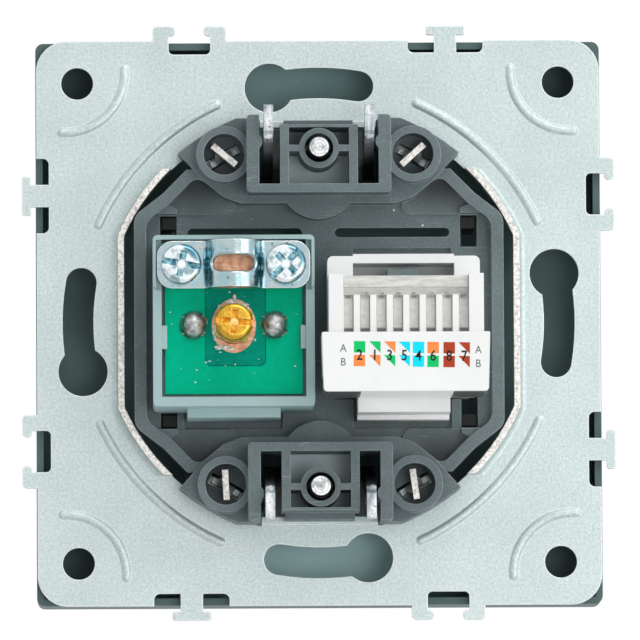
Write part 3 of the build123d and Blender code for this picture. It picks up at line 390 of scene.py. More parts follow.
def brass(name, thread=None):
    """Turned brass with a fine grain; the recess is painted darker and more orange as shade, with a
    painted highlight in its middle and on the rim.
    """
    look = Look(name).set(Metallic=1.0)
    grain = look.noise(3400, 2, 0.6)
    tone = look.mix(look.range(grain, 0.35, 0.65), (0.58, 0.32, 0.03), (0.73, 0.43, 0.06))
    depth = look.part("Y")
    # Painted shade: the recess darker and more orange
    sunk = look.product(look.range(depth, BRASS_TOP - 0.25 * MM, BRASS_TOP - 0.85 * MM),
                        look.range(depth, BRASS_TOP - 1.3 * MM, BRASS_TOP - 1.2 * MM))
    recess_shade = look.mix(look.range(look.noise(1300, 2), 0.4, 0.6),
                     (0.6, 0.2, 0.01), (0.85, 0.42, 0.05))
    tone = look.mix(sunk, tone, recess_shade)
    # Painted highlight: a pale spot in the middle of the recess
    middle = look.range(look.away((TERMINAL[0], -TERMINAL[1])), *BRASS_HIGHLIGHT)
    spot = look.product(middle, sunk, look.range(look.noise(1500, 1), 0.4, 0.55))
    tone = look.mix(spot, tone, (1.0, 0.72, 0.3))
    # Painted highlight on the rim's sharp edges
    rim = look.edge_wear_and_highlight(0.00012)
    look.colour(look.mix(look.product(rim, 0.7), tone, (1.0, 0.76, 0.28)))
    look.roughness(look.range(grain, 0.3, 0.7, 0.2, 0.36))
    fine = look.product(grain, FINE_SHARE)
    look.bump(look.ridges(thread, fine) if thread else fine, THREAD_DEEP, 0.6, edge=0.00012)
    return look.material


def olive_brass():
    """Dulled brass of the washer."""
    look = Look("olive_brass").set(Metallic=0.9)
    grain = look.noise(1500, 3, 0.6)
    look.colour(look.mix(look.range(grain, 0.35, 0.65), (0.17, 0.16, 0.035), (0.38, 0.34, 0.1)))
    look.roughness(look.range(grain, 0.3, 0.7, 0.25, 0.45))
    look.bump(grain, 0.00003, 0.4, edge=0.0001)
    return look.material


def copper():
    """Bare copper, dulled and scratched in patches."""
    look = Look("copper").set(Metallic=0.6)
    stain = look.noise(1100, 4, 0.65)
    tone = look.mix(look.range(stain, 0.35, 0.65), (0.85, 0.47, 0.3), (0.52, 0.25, 0.15))
    marks = look.scratches(500, (0.2, 1.0, 3.0), radians(24), 0.02)
    look.colour(look.mix(look.product(marks, 0.5), tone, (0.95, 0.72, 0.58)))
    look.roughness(look.range(stain, 0.3, 0.7, 0.3, 0.5))
    look.bump(stain, 0.00003, 0.4)
    return look.material


def solder():
    """Grey solder with a wrinkled skin and darker pits."""
    look = Look("solder").set(Metallic=0.8)
    skin = look.noise(1300, 5, 0.65)
    tone = look.mix(look.range(skin, 0.38, 0.66), (0.24, 0.25, 0.25), (0.68, 0.69, 0.68))
    look.colour(look.mix(look.range(look.noise(3200, 2), 0.66, 0.72), tone, (0.04, 0.04, 0.04)))
    look.roughness(look.range(skin, 0.3, 0.7, 0.28, 0.5))
    look.bump(skin, 0.00012, 0.5)
    return look.material


def plated(name, colour):
    """Smooth plating, such as nickel or gold, on the contacts and the outlet."""
    look = Look(name).set(Metallic=1.0)
    film = look.noise(1500, 2)
    darker = tuple(0.8 * part for part in colour)
    look.colour(look.mix(look.range(film, 0.3, 0.7), darker, colour))
    look.roughness(look.range(film, 0.3, 0.7, 0.18, 0.3))
    look.bump(film, 0.00001, 0.3, edge=0.00006)
    return look.material


# Plastics

def moulded(name, dark, light, worn, rough=0.45, edge=0.00014, wear=0.5, gloss=0.5,
            hollow=None, painted_light_floor=None):
    """Moulded plastic: fine texture, flow clouds, faint scratches and edges worn pale.

    A hollow gives the mask of places painted near black as shade, such as the depth of a slot, and
    a floor of painted light gives the mask and the tone of an inner floor painted lighter than the
    rest."""
    look = Look(name).set(Specular_IOR_Level=gloss)
    cloud = look.noise(170, 3)
    fine = look.noise(4400, 2, 0.6)
    tone = look.mix(look.range(cloud, 0.35, 0.65), dark, light)
    tone = look.mix(look.product(look.range(fine, 0.5, 0.72), 0.22 * wear), tone, worn)
    patchy = look.range(look.noise(900, 3), 0.3, 0.55, 0.3, 1.0)
    tone = look.mix(look.product(look.edge_wear_and_highlight(edge), patchy, wear), tone, worn)
    for turn, stretch in ((radians(35), (0.1, 1.0, 1.6)), (radians(-62), (0.14, 1.0, 2.2))):
        kept = look.range(look.noise(260, 1), 0.56, 0.66)
        lines = look.product(look.scratches(420, stretch, turn), kept, 0.35 * wear)
        tone = look.mix(lines, tone, worn)
    if hollow:
        # Painted shade in the hollow's places
        tone = look.mix(hollow(look), tone, SHADE_BLACK)
    if painted_light_floor:
        # Painted light on an inner floor, paler than the plastic
        where, floor_tone = painted_light_floor(look, cloud)
        tone = look.mix(where, tone, floor_tone)
    look.colour(tone)
    look.roughness(look.range(fine, 0.3, 0.7, rough - 0.07, rough + 0.08))
    look.bump(fine, 0.00002, 0.5, edge=edge)
    return look.material


def in_lug_slots(look):
    """Painted shade: black in the slots under the wells, where the lugs come through, and darker in
    the pockets beside them.
    """
    depth = look.part("Y")
    slot = look.product(look.range(look.away(WELL), SLOT_REACH + 0.02 * MM, SLOT_REACH),
                        look.range(depth, WELL_FLOOR - 0.02 * MM, WELL_FLOOR - 0.1 * MM))
    pocket = look.product(look.range(look.away(POCKET), *POCKET_REACH),
                          look.range(depth, POCKET_LEVEL + 0.05 * MM, POCKET_LEVEL - 0.05 * MM))
    return look.math("MAXIMUM", slot, look.product(pocket, POCKET_SHADE))


def bracket_floor(look, cloud):
    """The floor of the middle space in each claw bracket: where it is, and its tone, painted far
    paler than the carrier as painted light against the shade there.
    """
    low = look.range(look.part("Y"), WELL_FLOOR + 0.3 * MM, WELL_FLOOR + 0.2 * MM)
    near = look.range(look.away(BRACKET_MIDDLE), BRACKET_REACH + 0.1 * MM, BRACKET_REACH)
    tone = look.mix(look.range(cloud, 0.35, 0.65), (0.68, 0.84, 0.86), (0.78, 0.93, 0.95))
    return look.product(low, near, look.level()), tone


def inside_cover(look):
    """Everything of the cover above its inner face, and so nothing on the room side."""
    return look.range(look.part("Y"), COVER_LEVEL - 0.3 * MM, COVER_LEVEL - 0.2 * MM)


def cover_inside(look, cloud):
    """The inner face of the cover, seen through the steel's holes: where it is, and its tone,
    painted paler than the cover as painted light.

    This painted light is palest behind the upper and lower keyholes."""
    deep = look.range(look.part("Y"), FINGER_LEVEL, FINGER_LEVEL - 0.5 * MM)
    where = look.product(deep, inside_cover(look), look.level())
    across, up = look.math("ABSOLUTE", look.part("X")), look.part("Z")
    keyhole = look.product(look.range(across, *KEYHOLE_ACROSS),
                           look.range(look.math("ABSOLUTE", up), *KEYHOLE_UP))
    pale = look.mix(look.range(up, 5 * MM, -5 * MM), (0.33, 0.53, 0.52), (0.58, 0.88, 0.87))
    tone = look.mix(look.range(cloud, 0.35, 0.65), (0.13, 0.22, 0.215), (0.16, 0.26, 0.255))
    return where, look.mix(keyhole, tone, pale)


def under_label(look):
    """Painted shade, near black, on the hollow underside of the label block, beside the latch."""
    low = look.range(look.part("Z"), *BLOCK_FOOT)
    across = look.math("ABSOLUTE", look.math("SUBTRACT", look.part("X"), LATCH_X))
    beside = look.range(across, LATCH_HALF, LATCH_HALF + 0.05 * MM)
    inward = look.range(look.part("Y"), LABEL_LEVEL - 0.6 * MM, LABEL_LEVEL - 0.8 * MM)
    return look.product(low, beside, inward, 0.93)


def in_windows(look):
    """Painted shade: the cover's fingers deep in the windows, and what lies behind the lugs' slots,
    made near black.
    """
    under_slot = look.product(inside_cover(look),
                              look.range(look.away(WELL), SLOT_ROUND + 0.1 * MM, SLOT_ROUND))
    in_window = look.product(look.range(look.away(WINDOW), WINDOW_REACH + 0.2 * MM, WINDOW_REACH),
                             look.range(look.part("Y"), FINGER_LEVEL, FINGER_LEVEL + 0.2 * MM))
    return look.math("MAXIMUM", under_slot, in_window)


def frosted():
    """Clear plastic of the wire comb, milky grey where it is textured, with painted shade at the
    roots and ends of its teeth.
    """
    look = Look("frosted_clear").set(Specular_IOR_Level=0.5)
    look.shader.inputs["Alpha"].default_value = 0.88
    haze = look.noise(1700, 3, 0.6, stretch=(0.6, 1.0, 1.0))
    streak = look.noise(900, 4, 0.7, stretch=(0.5, 1.0, 2.5))
    bar = look.mix(look.range(streak, 0.36, 0.64), (0.62, 0.62, 0.585), (0.9, 0.9, 0.85))
    teeth = look.mix(look.range(haze, 0.3, 0.7), (0.88, 0.875, 0.84), (0.98, 0.975, 0.94))
    up = look.part("Z")
    tone = look.mix(look.range(up, COMB_BAR, COMB_BAR - 0.15 * MM), bar, teeth)
    from_tooth = look.math("SUBTRACT", look.part("X"), WIRE_X - WIRE_PITCH / 2)
    in_tooth = look.math("COSINE", look.product(from_tooth, 2 * pi / WIRE_PITCH))
    # Painted shade at the roots of the teeth
    root_shade = look.product(look.range(up, *ROOT_FROM), look.range(up, *ROOT_TO),
                        look.range(in_tooth, 0.25, 0.7), look.range(haze, 0.4, 0.55), 0.7)
    tone = look.mix(root_shade, tone, (0.2, 0.19, 0.17))
    # Painted shade at the ends of the teeth
    end = look.range(up, COMB_END + 0.1 * MM, COMB_END - 0.1 * MM)
    tone = look.mix(look.product(end, 0.85), tone, (0.1, 0.09, 0.08))
    look.colour(look.mix(look.edge_wear_and_highlight(0.00016), tone, (0.86, 0.87, 0.84)))
    look.roughness(look.range(haze, 0.3, 0.7, 0.2, 0.4))
    look.bump(haze, 0.00005, 0.4, edge=0.0001)
    return look.material


def board_green():
    """Solder mask, a little cloudy and glossy, with faces turned sideways painted near black as
    shade.
    """
    look = Look("board_green").set(Specular_IOR_Level=0.04)
    fine = look.noise(1500, 3, 0.6)
    # Painted shade: faces turned sideways made near black
    side = look.range(look.facing("Y"), 0.9, 0.4)
    tone = look.mix(look.range(fine, 0.3, 0.7), (0.0, 0.45, 0.255), (0.0, 0.51, 0.293))
    look.colour(look.mix(side, tone, (0.005, 0.05, 0.05)))
    look.roughness(look.range(fine, 0.3, 0.7, 0.3, 0.42))
    look.bump(fine, 0.00002, 0.3, edge=0.0001)
    return look.material


def plain(name, first, second, rough, scale=1500, metal=0.0, gloss=0.5):
    """A small mark or smear: two tones in fine patches."""
    look = Look(name).set(Metallic=metal, Specular_IOR_Level=gloss)
    patch = look.noise(scale, 4, 0.65)
    look.colour(look.mix(look.range(patch, 0.38, 0.62), first, second))
    look.roughness(look.range(patch, 0.3, 0.7, rough - 0.08, rough + 0.1))
    look.bump(patch, 0.00003, 0.4)
    return look.material


def axis_of(name):
    """A screw's axis, in X and Z, from its solid."""
    low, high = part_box(name)
    return (low[0] + high[0]) / 2, (low[2] + high[2]) / 2


def paint(name, material):
    """Gives a CAD node one material."""
    mesh = nodes[name].data
    mesh.materials.clear()
    mesh.materials.append(material)


steel_look = zinc_steel()
claw_look = claw_steel()
zinc_look = bright_zinc("bright_zinc")
copper_look = copper()
solder_look = solder()
nickel_look = plated("nickel", (0.66, 0.64, 0.6))
gold_look = plated("gold", (0.9, 0.66, 0.26))

# Each plastic's two tones, and the tone of its worn edges
WHITE_TONES = (0.87, 0.89, 0.88), (0.92, 0.935, 0.925), (0.95, 0.96, 0.95)
CARRIER_TONES = (0.118, 0.155, 0.162), (0.14, 0.182, 0.189), (0.42, 0.48, 0.49)
COVER_TONES = (0.075, 0.125, 0.123), (0.09, 0.145, 0.143), (0.16, 0.22, 0.22)
HOUSING_TONES = (0.33, 0.48, 0.485), (0.37, 0.52, 0.525), (0.5, 0.64, 0.64)
PALE_TONES = (0.22, 0.3, 0.3), (0.27, 0.35, 0.35), (0.4, 0.48, 0.48)

carrier_look = moulded("carrier_plastic", *CARRIER_TONES, edge=0.0002, wear=0.85, gloss=0.3,
                       hollow=in_lug_slots, painted_light_floor=bracket_floor)
cover_look = moulded("cover_plastic", *COVER_TONES, rough=0.5, gloss=0.3,
                     hollow=in_windows, painted_light_floor=cover_inside)
housing_look = moulded("grey_plastic", *HOUSING_TONES, wear=0.3)
white_look = moulded("white_plastic", *WHITE_TONES, rough=0.4, wear=0.2)
block_look = moulded("block_plastic", *WHITE_TONES, rough=0.4, wear=0.2, hollow=under_label)
pale_look = moulded("pale_plastic", *PALE_TONES, wear=0.3)
board_look = board_green()
left_head, right_head = axis_of("saddle_screw_left"), axis_of("saddle_screw_right")

LOOKS = {
    "mounting_frame": steel_look,
    "carrier": carrier_look,
    "front_cover": cover_look,
    "claw_top": claw_look,
    "claw_bottom": claw_look,
    "claw_screw_top": bright_zinc("claw_screw_zinc", CLAW_THREAD, tip=True),
    "claw_screw_bottom": bright_zinc("claw_screw_zinc_low", CLAW_THREAD, tip=True),
    "tv_housing": housing_look,
    "tv_board": board_look,
    "board_copper": copper_look,
    "solder_joints": solder_look,
    "coax_shell": nickel_look,
    "coax_insulator": white_look,
    "coax_pin": brass("pin_brass"),
    "terminal_screw": brass("screw_brass", TERMINAL_THREAD),
    "terminal_washer": olive_brass(),
    "earth_plate": copper_look,
    "cable_saddle": zinc_look,
    "saddle_screw_left": bright_zinc("saddle_screw_zinc", SADDLE_THREAD, head=left_head),
    "saddle_screw_right": bright_zinc("saddle_screw_zinc_right", SADDLE_THREAD, head=right_head),
    "jack_adapter": white_look,
    "jack_housing": pale_look,
    "jack_board": board_look,
    "jack_contacts": gold_look,
    "jack_rear_block": block_look,
    "wire_comb": frosted(),
    "idc_contacts": nickel_look,
}
for name, look in LOOKS.items():
    paint(name, look)


# Small pieces that the solids leave out

BLOB_RINGS = 7
BLOB_SIDES = 28
BLOB_DENT = 0.12


def ink(name, colour):
    """Matt printing ink."""
    lighter = tuple(min(1.0, part * 1.08 + 0.004) for part in colour)
    return plain(name, colour, lighter, 0.6, 900, gloss=0.2)


def placed(name, curve, material):
    """Turns a flat filled curve into a mesh piece that rides on the base."""
    shape = bpy.data.objects.new(name + "_curve", curve)
    bpy.context.collection.objects.link(shape)
    bpy.context.view_layer.update()
    seen = shape.evaluated_get(bpy.context.evaluated_depsgraph_get())
    mesh = bpy.data.meshes.new_from_object(seen)
    bpy.data.objects.remove(shape)
    piece = bpy.data.objects.new(name, mesh)
    bpy.context.collection.objects.link(piece)
    return finished(piece, material, "base")


def finished(piece, material, body):
    """Gives a piece its material and the body that it rides on."""
    piece.data.materials.clear()
    piece.data.materials.append(material)
    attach(piece, body)
    return piece


def flat_shapes(name, outlines, level, thick, material):
    """Filled outlines in X and Z, raised a little from a level. An outline in another is a hole."""
    curve = bpy.data.curves.new(name, "CURVE")
    curve.dimensions = "2D"
    curve.fill_mode = "BOTH"
    curve.extrude = thick / 2
    for points in outlines:
        spline = curve.splines.new("POLY")
        spline.points.add(len(points) - 1)
        for target, (x, z) in zip(spline.points, points):
            target.co = (-x, z, 0.0, 1.0)
        spline.use_cyclic_u = True
    piece = placed(name, curve, material)
    stand = Matrix(((-1, 0, 0, 0), (0, 0, 1, level + thick / 2), (0, 1, 0, 0), (0, 0, 0, 1)))
    piece.data.transform(stand)
    return piece


def circle(x, z, radius, count=32, rough=0.0, seed=0):
    """Points round a circle, uneven by a share of the radius."""
    source = random.Random(seed)
    waves = [(source.uniform(0, 2 * pi), source.uniform(0.4, 1.0)) for _ in range(4)]
    points = []
    for step in range(count):
        angle = 2 * pi * step / count
        swell = sum(high * sin(order * angle + start)
                    for order, (start, high) in enumerate(waves, 2))
        reach = radius * (1 + rough * swell / len(waves))
        points.append((x + reach * cos(angle), z + reach * sin(angle)))
    return points


def blobs(name, spots, material, body="base"):
    """Low lumpy domes. A spot is (x, z, level, wide, high, tall, unevenness, seed)."""
    vertices, faces = [], []
    rings, count = BLOB_RINGS, BLOB_SIDES
    for x, z, level, wide, high, tall, rough, seed in spots:
        source = random.Random(seed)
        base = len(vertices)
        edge = circle(0, 0, 1.0, count, rough, seed)
        for ring in range(rings):
            share = 1 - ring / rings
            lift = tall * sqrt(1 - share * share)
            for px, pz in edge:
                dent = 1 + rough * source.uniform(-BLOB_DENT, BLOB_DENT) * (0 < ring)
                across, up = px * share * wide / 2, pz * share * high / 2
                vertices.append((x + across, level + lift * dent, z + up))
        vertices.append((x, level + tall, z))
        for ring in range(rings - 1):
            for step in range(count):
                after = (step + 1) % count
                low, up = base + ring * count, base + (ring + 1) * count
                faces.append((low + step, up + step, up + after, low + after))
        last = base + (rings - 1) * count
        for step in range(count):
            faces.append((last + step, base + rings * count, last + (step + 1) % count))
        faces.append(tuple(base + step for step in range(count)))
    mesh = bpy.data.meshes.new(name)
    mesh.from_pydata(vertices, [], faces)
    for face in mesh.polygons:
        face.use_smooth = len(face.vertices) < count
    piece = bpy.data.objects.new(name, mesh)
    bpy.context.collection.objects.link(piece)
    return finished(piece, material, body)


# The carrier with its corner pockets, in millimetres for the upper corner on the +X side

DECK_EDGE = ((14.42, 17.48), (11.91, 15.43), (9.7, 14.63))
WALL_INSIDE = (18.507, 14.819)
WALL_FOOT = 20.49
POCKET_CORNER = (15.11, 18.27)
POCKET_ROUND = 1.2
ARC_STEPS = 6
RING_MIDDLE = (11.777, 20.647)   # middle of the ring round a lug
RING_ROUND = 3.53
RING_SIDES = 48
GUSSET = ((17.75, 14.15), (18.75, 14.63))
EAR_EDGE = (18.22, 21.68)
BESIDE_BRACKET = 9.02
CORNER_FROM = 13.3
CORNER_TO = (24.2, 26.0)
WELD = 0.001
SMOOTH_BELOW = radians(28)       # edges that turn less look smooth


def rounded_corner(before, corner, after, radius):
    """Points of an arc that rounds one corner of an outline."""
    corner, before, after = Vector(corner), Vector(before), Vector(after)
    first, last = (before - corner).normalized(), (after - corner).normalized()
    half = first.angle(last) / 2
    middle = corner + (first + last).normalized() * radius / sin(half)
    start = corner + first * radius / tan(half) - middle
    end = corner + last * radius / tan(half) - middle
    bend = start.angle_signed(end)
    points = []
    for step in range(ARC_STEPS + 1):
        angle = -bend * step / ARC_STEPS
        points.append((middle.x + start.x * cos(angle) - start.y * sin(angle),
                       middle.y + start.x * sin(angle) + start.y * cos(angle)))
    return points


def corner_prisms(name, outline, low, high):
    """Prisms over an outline in X and Z, in all four corners, hidden and used only to cut."""
    made = bmesh.new()
    for side in (1, -1):
        for level in (1, -1):
            points = [(side * x * MM, low * MM, level * z * MM) for x, z in outline]
            face = made.faces.new([made.verts.new(point) for point in points])
            grown = bmesh.ops.extrude_face_region(made, geom=[face])
            tops = [item for item in grown["geom"] if isinstance(item, bmesh.types.BMVert)]
            bmesh.ops.translate(made, verts=tops, vec=(0, (high - low) * MM, 0))
    bmesh.ops.recalc_face_normals(made, faces=made.faces)
    mesh = bpy.data.meshes.new(name)
    made.to_mesh(mesh)
    made.free()
    tool = bpy.data.objects.new(name, mesh)
    bpy.context.collection.objects.link(tool)
    return tool


def carrier_moulding():
    """The carrier's solid with its corner pads at the height of the photograph's."""
    welded = bmesh.new()
    welded.from_mesh(nodes["carrier"].data)
    bmesh.ops.remove_doubles(welded, verts=welded.verts, dist=WELD * MM)
    mesh = bpy.data.meshes.new("carrier_moulding")
    welded.to_mesh(mesh)
    welded.free()
    piece = bpy.data.objects.new("carrier_moulding", mesh)
    bpy.context.collection.objects.link(piece)
    far_x, far_z = CORNER_TO
    corner = [(BESIDE_BRACKET, CORNER_FROM), (far_x, CORNER_FROM),
              (far_x, far_z), (BESIDE_BRACKET, far_z)]
    turns = [2 * pi * step / RING_SIDES for step in range(RING_SIDES)]
    ring = [(RING_MIDDLE[0] + RING_ROUND * cos(turn), RING_MIDDLE[1] + RING_ROUND * sin(turn))
            for turn in turns]
    low_edge = (DECK_EDGE[-1][0], CORNER_FROM)
    outside = [low_edge, (far_x, CORNER_FROM), (far_x, EAR_EDGE[1]), EAR_EDGE, *DECK_EDGE]
    arc = rounded_corner(WALL_INSIDE, POCKET_CORNER, DECK_EDGE[0], POCKET_ROUND)
    pocket = [low_edge, (WALL_FOOT, CORNER_FROM), WALL_INSIDE, *arc, *DECK_EDGE]
    floor_start = (GUSSET[0][0], CORNER_FROM)
    pocket_floor = [low_edge, floor_start, *GUSSET, WALL_INSIDE, *arc, *DECK_EDGE]
    # Each cut: an outline, the depths between which it cuts, and the outline of what stays
    cuts = [(corner, 5.99, 8.3, None), (corner, 3.99, 6.05, ring), (outside, 3.29, 4.05, None),
            (pocket, 2.4, 3.35, None), (pocket_floor, 1.4, 2.45, None)]
    for number, (outline, low, high, kept) in enumerate(cuts):
        tool = corner_prisms(f"cut_{number}", outline, low, high)
        tools = [tool]
        if kept:
            keeper = corner_prisms(f"kept_{number}", kept, low - 0.1, high + 0.1)
            cut_with(tool, keeper)
            tools.append(keeper)
        cut_with(piece, tool)
        for used in tools:
            bpy.data.objects.remove(used)
    mesh = piece.data
    mesh.attributes.remove(mesh.attributes["custom_normal"])
    mesh.shade_smooth()
    mesh.set_sharp_from_angle(angle=SMOOTH_BELOW)
    finished(piece, carrier_look, "base")
    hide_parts("carrier")


def cut_with(piece, tool):
    """Takes one solid away from another, for good."""
    cut = piece.modifiers.new("cut", "BOOLEAN")
    cut.operation = "DIFFERENCE"
    cut.solver = "EXACT"
    cut.object = tool
    bpy.context.view_layer.update()
    seen = piece.evaluated_get(bpy.context.evaluated_depsgraph_get())
    mesh = bpy.data.meshes.new_from_object(seen)
    piece.modifiers.remove(cut)
    piece.data = mesh


def turned_screw():
    """The right saddle screw, turned a quarter from its solid as the photograph shows it."""
    low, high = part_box("saddle_screw_right")
    axis = Vector(((low[0] + high[0]) / 2, 0.0, (low[2] + high[2]) / 2))
    quarter = Matrix.Rotation(pi / 2, 4, "Y")
    mesh = nodes["saddle_screw_right"].data.copy()
    mesh.transform(Matrix.Translation(axis) @ quarter @ Matrix.Translation(-axis))
    piece = bpy.data.objects.new("saddle_screw_turned", mesh)
    bpy.context.collection.objects.link(piece)
    finished(piece, LOOKS["saddle_screw_right"], "right_saddle_screw")
    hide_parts("saddle_screw_right")


carrier_moulding()
turned_screw()


# Printed colour code on the label block, read along the wire slots

PRINT_MIDDLE = (-11.13 * MM, -5.62 * MM)
PRINT_TURN = radians(0.9)
PRINT_THICK = 0.02 * MM
CHIP = 1.41 * MM
CHIP_ROW = 0.85 * MM         # each row's middle, from the middle of the print
CHIP_PLACES = (-6.46, -4.58, -2.74, -0.93, 0.82, 2.63, 4.61, 6.46)
CHIP_ROWS = {"A": ("green", "green", "orange", "blue", "blue", "orange", "brown", "brown"),
             "B": ("orange", "orange", "green", "blue", "blue", "green", "brown", "brown")}
CHIP_HALVED = (False, True, True, True, False, False, False, True)
CHIP_COLOURS = {"green": (0.0, 0.57, 0.15), "orange": (0.98, 0.28, 0.07),
                "blue": (0.0, 0.75, 0.95), "brown": (0.43, 0.05, 0.015)}


def on_print(along, up):
    """A point of the print, in X and Z."""
    x = PRINT_MIDDLE[0] - along * cos(PRINT_TURN) - up * sin(PRINT_TURN)
    z = PRINT_MIDDLE[1] - along * sin(PRINT_TURN) + up * cos(PRINT_TURN)
    return x, z


def chips():
    """Squares for the plain wires and halves for the striped ones, one piece for each colour."""
    for colour, shade in CHIP_COLOURS.items():
        outlines = []
        for row, level in (("A", CHIP_ROW), ("B", -CHIP_ROW)):
            for place, along in enumerate(CHIP_PLACES):
                if CHIP_ROWS[row][place] != colour:
                    continue
                left, right = along * MM - CHIP / 2, along * MM + CHIP / 2
                low, high = level - CHIP / 2, level + CHIP / 2
                corners = [(left, high), (right, high), (right, low)]
                if not CHIP_HALVED[place]:
                    corners.append((left, low))
                outlines.append([on_print(*corner) for corner in corners])
        material = ink(f"ink_{colour}", shade)
        flat_shapes(f"code_{colour}", outlines, LABEL_LEVEL, PRINT_THICK, material)


def written(name, words, high, wide_share, material, lift, bolder=0.0):
    """Short texts: (text, place along the print, height above its middle)."""
    for number, (word, along, up) in enumerate(words, 1):
        curve = bpy.data.curves.new(name + word, "FONT")
        curve.body = word
        curve.size = high
        curve.align_x = "CENTER"
        curve.align_y = "CENTER"
        curve.extrude = PRINT_THICK / 2
        curve.offset = bolder
        curve.resolution_u = 6
        piece = placed(f"{name}_{number}", curve, material)
        low = min(point.co.y for point in piece.data.vertices)
        top = max(point.co.y for point in piece.data.vertices)
        grow = high / (top - low)
        middle = Matrix.Translation((0, -(low + top) / 2, 0))
        size = Matrix.Diagonal((grow * wide_share, grow, 1, 1))
        turn = Matrix.Rotation(-PRINT_TURN, 4, "Z")
        x, z = on_print(along * MM, up * MM)
        level = LABEL_LEVEL + lift
        stand = Matrix(((-1, 0, 0, x), (0, 0, 1, level), (0, 1, 0, z), (0, 0, 0, 1)))
        piece.data.transform(stand @ turn @ size @ middle)


DIGITS = [(digit, along, -0.13) for digit, along in zip("21354687", CHIP_PLACES)]
ROW_LETTERS = [("A", -8.47, 0.68), ("B", -8.47, -1.03), ("A", 8.21, 0.68), ("B", 8.21, -1.03)]

chips()
written("digit", DIGITS, high=1.31 * MM, wide_share=0.86, lift=1.6 * PRINT_THICK,
        material=ink("ink_dark", (0.01, 0.012, 0.015)), bolder=0.012 * MM)
written("row_letter", ROW_LETTERS, high=0.93 * MM, wide_share=0.9, lift=0.6 * PRINT_THICK,
        material=ink("ink_grey", (0.13, 0.14, 0.15)))


# Marks of soldering on the board

PANEL = (14.31 * MM, 6.75 * MM, -6.3 * MM, 3.35 * MM)   # left, right, bottom and top
PANEL_CORNER = 0.5 * MM
PANEL_LINE = 0.12 * MM
PANEL_HOLE = 2.6 * MM
JOINT_SIZE = (2.95 * MM, 3.3 * MM, 1.25 * MM)   # width, height and thickness
RIM_ROUND = (1.8 * MM, 1.3 * MM)
CRUMB_SIZE = (0.35 * MM, 0.2 * MM, 0.06 * MM)
CRUMB_TURNS = (40, 135, 150, 215, 228, 320)
CRUMB_AWAY = 1.66 * MM
# In mm from the terminal: x, z, width, height, thickness, and the seed of its outline
SMEARS = (
    (0.3, 2.92, 1.5, 0.8, 0.1, 21), (-1.2, 2.55, 1.5, 0.5, 0.08, 22),
    (1.6, 2.3, 0.9, 0.5, 0.06, 23), (2.35, -0.9, 0.7, 1.9, 0.07, 24),
    (1.5, -2.75, 1.9, 0.6, 0.07, 25), (0.4, -2.95, 1.1, 0.35, 0.06, 26),
    (-0.1, 3.45, 0.55, 1.0, 0.3, 27), (-1.75, 1.9, 0.5, 0.9, 0.08, 28),
)
SPECK_TRIES = 46
# In mm: how far the specks reach from the terminal, their sizes, and half the size of a mark
# that stays free of them
SPECK_ACROSS = 8.0
SPECK_UP = (-8.0, 4.2)
SPECK_SIZES = (0.08, 0.1, 0.14, 0.2)
MARK_HALF = (2.1, 3.2)


def board_panel():
    """The bare panel of the board round the terminal, with a darker outline."""
    left, right, low, high = PANEL
    cut, line = PANEL_CORNER, PANEL_LINE
    panel = [(left, high), (left, low + cut), (left - cut, low),
             (right + cut, low), (right, low + cut), (right, high)]
    hole = circle(*TERMINAL, PANEL_HOLE)
    mask = plain("mask_dark", (0.0, 0.27, 0.185), (0.0, 0.32, 0.22), 0.35, gloss=0.05)
    flat_shapes("board_panel", [panel, hole], BOARD_LEVEL, 0.012 * MM, mask)
    bevel = cut + line / 2
    inner = [(left - line, high), (left - line, low + bevel), (left - bevel, low + line),
             (right + bevel, low + line), (right + line, low + bevel), (right + line, high)]
    edge = plain("mask_line", (0.0, 0.13, 0.1), (0.0, 0.17, 0.13), 0.35, gloss=0.05)
    flat_shapes("board_panel_edge", [panel, inner], BOARD_LEVEL, 0.02 * MM, edge)


def solder_marks():
    """The solder joints with their rims and crumbs, and the tin smeared round the terminal."""
    joints, rims, crumbs = [], [], []
    for side, seed in ((1, 5), (-1, 9)):
        x, z = TERMINAL[0] + side * EARTH_AT, TERMINAL[1]
        joints.append((x - 0.05 * MM, z + 0.02 * MM, PAD_LEVEL, *JOINT_SIZE, 0.08, seed))
        rims.append(circle(x, z, RIM_ROUND[0], 16, 0.08, seed + 1))
        rims.append(circle(x, z, RIM_ROUND[1], 24))
        for turn in CRUMB_TURNS:
            across, up = CRUMB_AWAY * cos(radians(turn)), CRUMB_AWAY * sin(radians(turn))
            crumbs.append((x + across, z + up, PAD_LEVEL, *CRUMB_SIZE, 0.3, seed + turn))
    joint = blobs("solder_domes", joints, LOOKS["solder_joints"])
    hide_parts("solder_joints")
    rim = plain("mask_rim", (0.0, 0.07, 0.05), (0.0, 0.3, 0.19), 0.3, 2400, gloss=0.2)
    flat_shapes("joint_rims", rims, PAD_LEVEL, 0.03 * MM, rim)
    flux = plain("burnt_flux", (0.3, 0.14, 0.05), (0.62, 0.4, 0.26), 0.5)
    blobs("joint_crumbs", crumbs, flux)
    spots = [(TERMINAL[0] + x * MM, TERMINAL[1] + z * MM, PAD_LEVEL,
              wide * MM, high * MM, tall * MM, 0.5, seed)
             for x, z, wide, high, tall, seed in SMEARS]
    tin = plain("smeared_tin", (0.42, 0.44, 0.42), (0.94, 0.95, 0.92), 0.5, 3200, 0.3)
    blobs("solder_smears", spots, tin)


